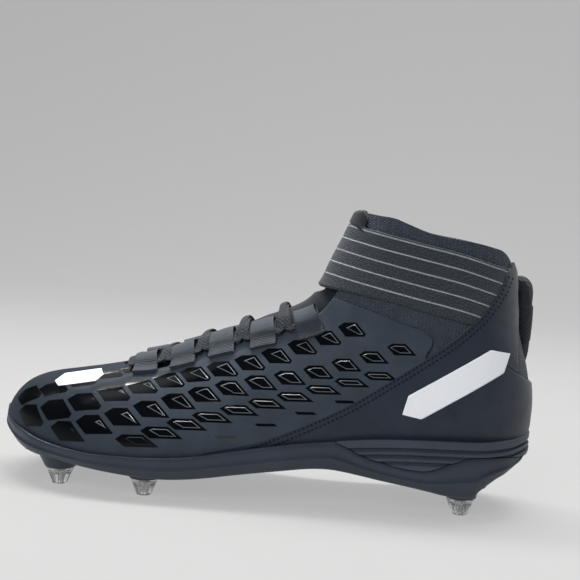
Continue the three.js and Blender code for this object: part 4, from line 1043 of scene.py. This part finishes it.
# A flat oval section carried along a path of points with outward directions
def carry(points, normals, width, thick, sides, step, round_=True):
    gaps = np.linalg.norm(np.diff(points, axis=0), axis=1)
    reach = np.concatenate([[0], np.cumsum(gaps)])
    count = int(reach[-1] / step)
    at = np.linspace(0, reach[-1], count)
    path = np.stack([smoothAt(reach, points[:, k], at) for k in range(3)], -1)
    normal = unit(np.stack([smoothAt(reach, normals[:, k], at) for k in range(3)], -1))
    ahead = unit(np.gradient(path, axis=0))
    across = unit(np.cross(ahead, normal))
    normal = unit(np.cross(across, ahead))
    angle = np.linspace(0, 2 * np.pi, sides, endpoint=False)
    close = np.ones(count)
    if round_:
        end = np.minimum(at, reach[-1] - at) / (width / 2)
        close = np.sqrt(np.clip(end, 0, 1) * (2 - np.clip(end, 0, 1))) * 0.98 + 0.02
    wide = np.cos(angle)[None] * width / 2 * close[:, None]
    high = np.sin(angle)[None] * thick / 2 * close[:, None]
    rings = path[:, None] + across[:, None] * wide[..., None] + normal[:, None] * high[..., None]
    uv = np.stack(np.broadcast_arrays(at[:, None], angle[None] * width / 2), -1) * mm
    return rings, uv


def makeLace():
    clear = loops["width"] / 2 + lace["width"] / 2 + 1.1
    inside = loops["width"] / 2 + lace["width"] / 3
    rings, uvs, faces, start = [], [], [], 0

    def stop(distance, down, out, side):
        place = placeBehind(distance)
        normal = formNormal(place, turnAtWidth(place, throatHalf(distance), side))
        return besideEdge(np.array([distance]), down, out, side)[0], np.ravel(normal)

    def middle(distance, extra):
        place = placeBehind(distance)
        normal = np.ravel(formNormal(place, np.array(1.0)))
        return np.ravel(bareForm(place, np.array(1.0))) + normal * (lace["lift"] + extra), normal

    # Beside each loop the lace lies on the film, dips to the height of the loop's hollow and climbs back to the middle
    def run(firstSide, extra):
        stops = []
        for i in range(loops["count"]):
            side = -firstSide if i % 2 else firstSide
            centre = loopCentre(i)
            if i:
                stops.append(middle(centre - loops["pitch"] / 2, extra if i % 2 else -extra))
            stops += [stop(centre - clear, -4, 5.2, side), stop(centre - inside - 0.4, lace["side"], 4.1, side)]
            stops.append(stop(centre - 2, lace["dip"], loopHollow, side))
            if i < loops["count"] - 1:
                stops += [stop(centre + 2, lace["dip"], loopHollow, side), stop(centre + inside + 0.4, lace["side"], 4.1, side)]
                stops.append(stop(centre + clear, -4, 5.2, side))
        last = loopCentre(loops["count"] - 1) + 0.3 * loops["width"]
        stops.append(stop(last, lace["dip"], loopHollow, -firstSide if (loops["count"] - 1) % 2 else firstSide))
        return stops

    front = loopCentre(0) - clear
    bar = [stop(front, -2.4, 4.6, 1), middle(front, 0), stop(front, -2.4, 4.6, -1)]
    for stops in (run(1, lace["over"]), run(-1, -lace["over"]), bar):
        points, normals = np.array([s[0] for s in stops]), np.array([s[1] for s in stops])
        ring, uv = carry(points, normals, lace["width"], lace["thick"], lace["sides"], lace["step"])
        faces.append(gridFaces(*ring.shape[:2], True) + start)
        rings.append(ring.reshape(-1, 3))
        uvs.append(uv.reshape(-1, 2))
        start += len(rings[-1])
    addPiece("laceKnit", np.concatenate(rings), np.concatenate(faces), laceMaterial, ["lace"], uv=np.concatenate(uvs))


makeLace()
print("lace made")

# Pull loop: a braided cord from the heel over and down to it again, in a thicker ribbed sleeve at its middle
pull = {
    "line": table(("x", "rise"), [(6.6, 134), (4.8, 141.5), (3.6, 144.5), (2.8, 141), (2.6, 130), (2.5, 114),
                                  (2.6, 99), (2.8, 88), (3.2, 80), (4.2, 71)]),
    "radius": 4.5,
    "sleeve": 4.9,
    "sleeveFrom": 0.36,
    "sleeveTo": 0.66,
    "ridges": 16,
    "sides": 48,
}


def makePull():
    x, z = pull["line"]["x"] / 100 * shoe["length"], riseHeight(pull["line"]["rise"])
    (x, z), reach = curveThrough([x, z], 300)
    path = np.stack([x, np.zeros_like(x), z], -1)
    ahead = unit(np.gradient(path, axis=0))
    across = np.broadcast_to(np.array([0.0, 1, 0]), ahead.shape)
    out = unit(np.cross(across, ahead))
    angle = np.linspace(0, 2 * np.pi, pull["sides"], endpoint=False)
    slant = reach[:, None] / 2.6
    strands = np.maximum(np.cos(4 * angle[None] + slant), np.cos(4 * angle[None] - slant))
    taper = 0.55 + 0.45 * ease((reach[-1] - reach) / 16)
    radius = (pull["radius"] + 0.2 * strands) * taper[:, None]
    rings = path[:, None] + across[:, None] * (np.cos(angle) * radius)[..., None] * 1.1 + out[:, None] * (np.sin(angle) * radius)[..., None]
    uv = np.stack(np.broadcast_arrays(reach[:, None], angle[None] * pull["radius"]), -1) * mm
    addPiece("pullCord", rings, gridFaces(*rings.shape[:2], True), cordMaterial, ["pull_loop"], uv=uv)
    part = reach / reach[-1]
    keep = (part > pull["sleeveFrom"]) & (part < pull["sleeveTo"])
    at = part[keep]
    end = np.minimum(at - pull["sleeveFrom"], pull["sleeveTo"] - at) * reach[-1] / 1.2
    close = np.sqrt(np.clip(end, 0, 1) * (2 - np.clip(end, 0, 1)))
    ridged = pull["sleeve"] + 0.22 * np.abs(np.cos(pull["ridges"] / 2 * angle))[None]
    radius = pull["radius"] * 0.8 + (ridged - pull["radius"] * 0.8) * close[:, None]
    rings = path[keep][:, None] + across[keep][:, None] * (np.cos(angle) * radius)[..., None] * 1.08 + out[keep][:, None] * (np.sin(angle) * radius)[..., None]
    uv = np.stack(np.broadcast_arrays(reach[keep][:, None], angle[None] * pull["radius"]), -1) * mm
    addPiece("pullSleeve", rings, gridFaces(*rings.shape[:2], True), cordMaterial, ["pull_loop"], uv=uv)


makePull()
print("pull loop made")

# Sole: walls carried round the outline seen from above
soleOutline = table(("x", "outer", "inner"), [(0, 4.7, 4.7), (0.5, 10.8, 10.8), (1.3, 16, 16), (2.5, 20.8, 20.8),
                                             (4.4, 26.4, 26.4), (6.9, 31, 31), (10, 34.8, 34.6), (14.5, 37, 36.6),
                                             (20.5, 38, 36.4), (28.4, 38.9, 34.8), (36.3, 40.2, 34), (44.2, 42.8, 35.6),
                                             (52, 45.8, 39.5), (60, 48.9, 44.5), (67.8, 50.9, 48.7), (74, 50.4, 50),
                                             (80.4, 47.5, 49), (86.8, 41, 45.5), (91.5, 34, 41.3), (95, 24.8, 35.8),
                                             (97.2, 16, 29.4), (98.7, 8.2, 22.2), (99.7, -1, 13.6), (100, -4.4, 10.4)])
sole = {"lip": 2.6, "firstGroove": 5.4, "ribPitch": 3.9, "ribDepth": 1.3, "grooves": 3, "steps": 900}


def outlinePath():
    x = soleOutline["x"] / 100 * shoe["length"]
    outer = soleOutline["outer"] / 100 * shoe["ballWidth"]
    inner = soleOutline["inner"] / 100 * shoe["ballWidth"]
    nose = np.array([[shoe["length"] + 0.05, 0.5 * (outer[-1] - inner[-1])]])
    heel = np.array([[-0.05, 0.0]])
    loop = np.concatenate([heel, np.stack([x, outer], -1), nose, np.stack([x, -inner], -1)[::-1], heel])
    (px, py), reach = curveThrough([loop[:, 0], loop[:, 1]], sole["steps"] + 1)
    path = np.stack([px, py], -1)[:-1]
    ahead = unit(np.roll(path, -1, 0) - np.roll(path, 1, 0))
    return path, np.stack([-ahead[:, 1], ahead[:, 0]], -1)


# A wall round the sole: profile gives, for each place of the outline, insets and heights from the bottom edge over
# the top and down the inside. The wall stays open; the plate closes its bottom and inside floor on the middle line.
def soleWall(path, outward, inset, height, closeBottom=True):
    rings = np.concatenate([path[:, None] - outward[:, None] * inset[..., None], height[..., None]], -1)
    return rings


def makePlate():
    path, outward = outlinePath()
    x = path[:, 0]
    under = soleHeight(underLine, x)[:, None]
    feather = soleHeight(featherLine, x)[:, None]
    split = soleHeight(splitLine, x)[:, None]
    top = np.minimum(feather, split)
    has = (top < feather - 0.3)
    share = np.array([0, 0.02, 0.07, 0.16, 0.27, 0.36, 0.40, 0.43, 0.46, 0.52, 0.62, 0.8, 0.93, 0.98, 1.0])
    inset = np.array([4.5, 3.6, 2.7, 1.9, 1.2, 0.6, 0.3, 0.2, 0.35, 0.75, 0.85, 0.75, 0.7, 0.95, 1.7])
    heights = under + (top - under) * share[None]
    insets = np.broadcast_to(inset[None], heights.shape).copy()
    deep = np.where(has, 5.5, sole["lip"])
    floor = np.minimum(np.maximum(soleHeight(floorLine, x)[:, None], under + 1.5), top - 0.3)
    insets = np.concatenate([insets, np.full_like(top, 0.85) + deep * 0.6, np.full_like(top, 1.0) + deep, np.full_like(top, 1.4) + deep], 1)
    heights = np.concatenate([heights, top + 0.0, top - 0.4, floor], 1)
    rings = soleWall(path, outward, insets, heights)
    middle = np.stack([np.clip(x, 12, shoe["length"] - 14), 0.5 * (smoothAt(soleOutline["x"], soleOutline["outer"], 100 * x / shoe["length"]) - smoothAt(soleOutline["x"], soleOutline["inner"], 100 * x / shoe["length"])) / 100 * shoe["ballWidth"]], -1)

    def fill(edge, surface):
        rows = []
        for f in np.linspace(0, 1, 9)[1:]:
            flat = edge[:, :2] * (1 - f) + middle * f
            level = surface(flat[:, 0])
            keep = edge[:, 2] * (1 - f) ** 3 + level * (1 - (1 - f) ** 3)
            rows.append(np.concatenate([flat, keep[:, None]], -1))
        return np.stack(rows, 1)

    bottom = fill(rings[:, 0], lambda at: soleHeight(underLine, at))[:, ::-1]
    inside = fill(rings[:, -1], lambda at: soleHeight(floorLine, at) - 0.4)
    points = np.concatenate([bottom, rings, inside], 1)
    points = np.concatenate([points, points[:1]], 0)
    faces = gridFaces(*points.shape[:2])
    addPiece("plateShell", points, faces, plateMaterial, ["outsole"])


def makeMidsole():
    path, outward = outlinePath()
    x = path[:, 0]
    feather, split = soleHeight(featherLine, x), soleHeight(splitLine, x) + 0.3
    keep = np.roll((x < 0.405 * shoe["length"]) & (feather > split + 0.1), -int(np.argmax(x > 0.45 * shoe["length"])))
    order = np.roll(np.arange(len(x)), -int(np.argmax(x > 0.45 * shoe["length"])))[keep]
    path, outward, feather, split = path[order], outward[order], feather[order][:, None], split[order][:, None]
    fine = np.linspace(0, 1, 90)[None]
    height = split + (feather - split) * fine
    below = feather - height
    rank = (below - sole["firstGroove"]) / sole["ribPitch"]
    near = np.abs(rank - np.clip(np.round(rank), 0, sole["grooves"] - 1)) * sole["ribPitch"]
    groove = ease((1.15 - near) / 0.9)
    swell = 0.35 * np.cos(np.clip(rank, -0.5, sole["grooves"] - 0.5) * 2 * np.pi)
    inset = 0.65 + sole["ribDepth"] * groove + swell * (rank > -0.5) - 0.35 * (rank <= -0.5)
    inset = inset + 0.9 * (1 - np.sqrt(np.clip(below / 0.9, 0, 1)))
    back = np.array([[2.2, 4.2, 4.6]])
    inset = np.concatenate([inset, np.broadcast_to(back, (len(path), 3)), np.full((len(path), 1), 4.6)], 1)
    height = np.concatenate([height, feather, feather - 0.2, feather - 0.9, split], 1)
    rings = soleWall(path, outward, inset, height)
    addPiece("midsoleRibbed", rings, gridFaces(*rings.shape[:2], True), midsoleMaterial, ["midsole"])


makePlate()
makeMidsole()
print("sole made")

# Studs: clear fluted cones on a flared housing, each round a metal core
studs = {
    "places": {
        "HeelOuter": (12.3, 21.3, False), "HeelInner": (12.3, -21.3, False), "BallOuter": (69.4, 35, False),
        "BallInner": (72, -34, False), "FrontOuter": (86, 25.8, False), "FrontInner": (87, -28.5, False),
        "Toe": (95.2, -8.0, True),
    },
    "topRadius": 8,
    "tipRadius": 4.5,
    "height": 10,
    "toeHeight": 8,
    "flutes": 9,
    "bossRadius": 9.0,
    "flare": (5.0, 2.4),
    "toeFlare": (1.2, 2.4),
    "frontFlare": (3.9, 1.1),
    "frontHigh": 7.8,
    "sides": 72,
}


# A body of rings about an upright axis: radius from height, with flutes that deepen below the shoulder
def turnedBody(centre, profile, flute=0.0, sides=72):
    profile = np.array(profile, float)
    angle = np.linspace(0, 2 * np.pi, sides, endpoint=False)
    cut = 1 - np.abs(np.cos(studs["flutes"] / 2 * angle))[None]
    wave = 1 - flute * profile[:, 2:3] * cut if flute else 1
    radius = profile[:, 0:1] * wave * np.ones((1, sides))
    points = np.stack([centre[0] + radius * np.cos(angle), centre[1] + radius * np.sin(angle), np.broadcast_to(centre[2] + profile[:, 1:2], radius.shape)], -1)
    return points


def makeStuds():
    for name, (placeX, placeY, short) in studs["places"].items():
        x, y = placeX / 100 * shoe["length"], placeY / 100 * shoe["ballWidth"]
        face = float(soleHeight(underLine, x - 9.4)) - 0.3 if short else shoe["studHeight"]
        tall = studs["toeHeight"] if short else studs["height"]
        node = "stud_" + "".join("_" + c.lower() if c.isupper() else c for c in name).strip("_")
        top, tip = studs["topRadius"], studs["tipRadius"]
        f = np.linspace(0, 1, 16)
        cone = [(0.02, -0.3, 0), (top - 0.5, -0.3, 0), (top, -0.55, 0), (top, -1.2, 0.0)]
        for g in f:
            cone.append((top + (tip - top) * g**0.9, -1.3 - (tall - 1.9) * g, min(1, 3 * g)))
        cone += [(tip - 0.35, -tall + 0.15, 0.8), (tip - 0.9, -tall, 0.6), (0.02, -tall, 0)]
        points = turnedBody((x, y, face), cone, 0.2, 144)
        addPiece(f"stud{name}", points, gridFaces(*points.shape[:2], True), clearMaterial, [node])
        core = [(0.02, -0.5, 0), (5.4, -0.5, 0), (5.2, -1.4, 0), (2.4, -2.0, 1), (1.9, -tall + 2.4, 1), (1.5, -tall + 1.9, 1), (0.02, -tall + 1.8, 0)]
        points = turnedBody((x, y, face), core, 0.3, 90)
        addPiece(f"studCore{name}", points, gridFaces(*points.shape[:2], True), metalMaterial, ())
        high = min(7.5, float(soleHeight(floorLine, x - 14)) - 1.6 - face)
        rise = np.linspace(0, 1, 20)
        flare, bend = studs["toeFlare"] if short else studs["flare"]
        if name.startswith("Front"):
            (flare, bend), high = studs["frontFlare"], studs["frontHigh"]
        boss = [(0.02, 0), (studs["bossRadius"] - 0.5, 0), (studs["bossRadius"], 0.4)]
        boss += [(studs["bossRadius"] + 0.1 + flare * g**bend, 0.5 + (high - 0.5) * g) for g in rise]
        boss.append((0.02, high))
        points = turnedBody((x, y, face), boss)
        addPiece(f"studHousing{name}", points, gridFaces(*points.shape[:2], True), plateMaterial, ())


makeStuds()
print("studs made")

# Insole: the solid's own smooth sheet inside the knit, crowned a little at its edge, kept and given a cloth material
for node in ("insole",):
    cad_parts[node].data.materials.clear()
    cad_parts[node].data.materials.append(insoleMaterial)


# Seam stitches: short threads in two rows behind the quarter's seam
stitches = {"rows": (1.6, 4.2), "pitch": 2.5, "long": 1.6, "thick": 0.85, "top": 1.7}


def makeStitches():
    z = np.linspace(riseHeight(20), riseHeight(154), 500)
    x = lineX(quarterSeam, z)
    ahead = unit(np.stack([np.gradient(x), np.gradient(z)], -1))
    allPoints, allFaces, start = [], [], 0
    for side in (1, -1):
        for inset in stitches["rows"]:
            px, pz = x - ahead[:, 1] * inset, z + ahead[:, 0] * inset
            px, pz = np.where(ahead[:, 1] > 0, px, px), pz
            flip = 1 if (px < x).mean() > 0.5 else -1
            px, pz = x - flip * ahead[:, 1] * inset, z + flip * ahead[:, 0] * inset
            reach = np.concatenate([[0], np.cumsum(np.hypot(np.diff(px), np.diff(pz)))])
            at = np.arange(stitches["pitch"], reach[-1], stitches["pitch"])
            cx, cz = np.interp(at, reach, px), np.interp(at, reach, pz)
            place, turn = findOnSide(cx, cz)
            centre, normal = bareForm(place, side * turn), formNormal(place, side * turn)
            tangent = np.stack([np.interp(at, reach, np.gradient(px)), np.zeros_like(at), np.interp(at, reach, np.gradient(pz))], -1)
            tangent = unit(tangent - normal * (tangent * normal).sum(1)[:, None])
            across = np.cross(normal, tangent)
            w = np.linspace(-1, 1, 7)
            angle = np.linspace(0, 2 * np.pi, 6, endpoint=False)
            fat = np.sqrt(np.clip(1 - w**4, 0, 1)) * 0.98 + 0.02
            for i in range(len(at)):
                ring = centre[i] + tangent[i] * (w * stitches["long"] / 2)[:, None] + normal[i] * (stitches["top"] + 0.22 * (1 - w**2))[:, None]
                body = ring[:, None] + across[i] * (np.cos(angle)[None] * fat[:, None] * stitches["thick"] / 2)[..., None] + normal[i] * (np.sin(angle)[None] * fat[:, None] * stitches["thick"] / 2)[..., None]
                allPoints.append(body.reshape(-1, 3))
                allFaces.append(gridFaces(7, 6, True) + start)
                start += 42
    addPiece("seamStitches", np.concatenate(allPoints), np.concatenate(allFaces), stitchMaterial, (), weld=False)


makeStitches()

# White marks: a plain long hexagon on the heel and one on the toe, printed on the surface
marks = {
    "heelMark": {"centre": (47, 76), "long": 68, "high": 15, "slant": 33, "out": 2.0},
    "toeMark": {"centre": (265.5, 60.2), "long": 30, "high": 5, "slant": 12, "out": 1.75},
}


def makeMark(name, mark):
    f, g = np.meshgrid(np.linspace(-1, 1, 70), np.linspace(-1, 1, 24), indexing="ij")
    s = f * mark["long"] / 2
    t = g * mark["high"] / 2 * np.clip((1 - np.abs(f)) * 4.2, 0, 1)
    angle = math.radians(mark["slant"])
    x = mark["centre"][0] - (s * math.cos(angle) - t * math.sin(angle))
    z = mark["centre"][1] + s * math.sin(angle) + t * math.cos(angle)
    place, turn = findOnSide(x.ravel(), z.ravel())
    base, normal = bareForm(place, turn), formNormal(place, turn)
    top = (base + normal * (mark["out"] + 0.12)).reshape(*f.shape, 3)
    low = (base + normal * (mark["out"] - 0.1)).reshape(*f.shape, 3)
    points = np.concatenate([top, low[:, ::-1]], 1)
    addPiece(name, points, gridFaces(*points.shape[:2], True), markMaterial, ())


for name, mark in marks.items():
    makeMark(name, mark)
print("marks made")

# Floor, backdrop, light and camera
stageSet = {"floor": (0.13, 0.13, 0.13), "glow": 0.385, "room": 0.85, "curve": 0.9, "front": 0.4}


def makeStage():
    w = np.linspace(-2.2, 2.2, 3)
    along = np.array([stageSet["front"], 0, -0.5, -1.0])
    bend = np.linspace(0, np.pi / 2, 12)
    y = np.concatenate([along, -1.2 - stageSet["curve"] * np.sin(bend), [-1.2 - stageSet["curve"]]])
    z = np.concatenate([0 * along, stageSet["curve"] * (1 - np.cos(bend)), [3.2]])
    points = np.stack([*np.broadcast_arrays(w[:, None], y[None], z[None])], -1)
    material = newMaterial("paper", stageSet["floor"], 0.75, Emission_Strength=stageSet["glow"])
    shaderOf(material).inputs["Emission Color"].default_value = (1, 1, 1, 1)
    grain = noise(material, objectCoords(material), 18, 5)
    linkTo(material, mixColors(material, remap(material, grain, 0.3, 0.7, 0, 1), stageSet["floor"], tuple(0.97 * c for c in stageSet["floor"])), "Base Color")
    addBump(material, noise(material, objectCoords(material), 9, 4), 3, 0.15)
    mesh = bpy.data.meshes.new("backdrop")
    mesh.from_pydata(points.reshape(-1, 3).tolist(), [], gridFaces(len(w), len(y)).tolist())
    mesh.shade_smooth()
    mesh.materials.append(material)
    backdrop = bpy.data.objects.new("backdrop", mesh)
    bpy.context.scene.collection.objects.link(backdrop)


lights = {
    "overhead": {"at": (0.1, 0.0, 1.25), "size": (1.5, 0.9), "watts": 7, "aim": (0, 0, 0), "mirrored": False},
    "strip": {"at": (0.05, -0.25, 1.1), "size": (1.3, 0.2), "watts": 22, "aim": (0, 0, 0), "mirrored": True},
    "frontSoft": {"at": (0.5, 1.4, 0.9), "size": (1.2, 1.0), "watts": 27, "aim": (0, 0, 0.05), "mirrored": False},
    "wallSoft": {"at": (-0.6, -0.6, 1.1), "size": (0.9, 0.7), "watts": 6, "aim": (-0.3, -2.0, 0.3), "mirrored": False},
}


def makeLights():
    for name, light in lights.items():
        lamp = bpy.data.lights.new(name, "AREA")
        lamp.shape = "RECTANGLE"
        lamp.size, lamp.size_y = light["size"]
        lamp.energy = light["watts"]
        lamp.color = (1, 0.99, 0.97)
        thing = bpy.data.objects.new(name, lamp)
        bpy.context.scene.collection.objects.link(thing)
        thing.visible_glossy = light["mirrored"]
        back = np.array(light["at"], float) - np.array(light["aim"], float)
        back = back / np.linalg.norm(back)
        side = np.cross([0.0, 1.0, 0.02], back)
        side = side / np.linalg.norm(side)
        up = np.cross(back, side)
        thing.matrix_world = Matrix([[side[i], up[i], back[i], light["at"][i]] for i in range(3)] + [[0, 0, 0, 1]])
    makeRoom()


# The room is white but for its dark end behind the camera, which the glossy cells mirror
def makeRoom():
    world = bpy.data.worlds.new("room")
    bpy.context.scene.world = world
    world.use_nodes = True
    background = world.node_tree.nodes["Background"]
    direction = addNode(world, "ShaderNodeTexCoord").outputs["Generated"]
    parts = addNode(world, "ShaderNodeSeparateXYZ", {"Vector": direction})
    toeward = maths(world, "MULTIPLY_ADD", parts.outputs["Z"], -0.3, parts.outputs["X"])
    dark = maths(world, "MAXIMUM", remap(world, parts.outputs["Y"], 0.0, 0.3, 0, 1), remap(world, toeward, 0.1, 0.35, 0, 1))
    world.node_tree.links.new(mixColors(world, dark, (0.9, 0.95, 1.0), (0.03, 0.035, 0.04)), background.inputs["Color"])
    background.inputs["Strength"].default_value = stageSet["room"]
    bpy.context.scene.view_settings.view_transform = "Standard"


camera = {"at": (-0.0678, 0.6315, 0.165), "yaw": 5.0, "drop": 75 / 1067, "roll": 3.5, "focal": 1067, "frame": 580}


def makeCamera():
    yaw, pitch, roll = math.radians(camera["yaw"]), math.atan(camera["drop"]), math.radians(camera["roll"])
    right = np.array([-math.cos(yaw), -math.sin(yaw), 0])
    level = np.array([math.sin(yaw), -math.cos(yaw), 0])
    upright = np.array([0, 0, 1.0])
    forward = level * math.cos(pitch) - upright * math.sin(pitch)
    up = upright * math.cos(pitch) + level * math.sin(pitch)
    x = right * math.cos(roll) + up * math.sin(roll)
    y = up * math.cos(roll) - right * math.sin(roll)
    lens = bpy.data.cameras.new("photoCamera")
    lens.sensor_width = 36
    lens.lens = 36 * camera["focal"] / camera["frame"]
    lens.clip_start = 0.01
    thing = bpy.data.objects.new("photoCamera", lens)
    bpy.context.scene.collection.objects.link(thing)
    thing.matrix_world = Matrix([[x[i], y[i], -forward[i], camera["at"][i]] for i in range(3)] + [[0, 0, 0, 1]])
    bpy.context.scene.camera = thing


makeStage()
makeLights()
makeCamera()
print("stage made")

bpy.context.view_layer.update()
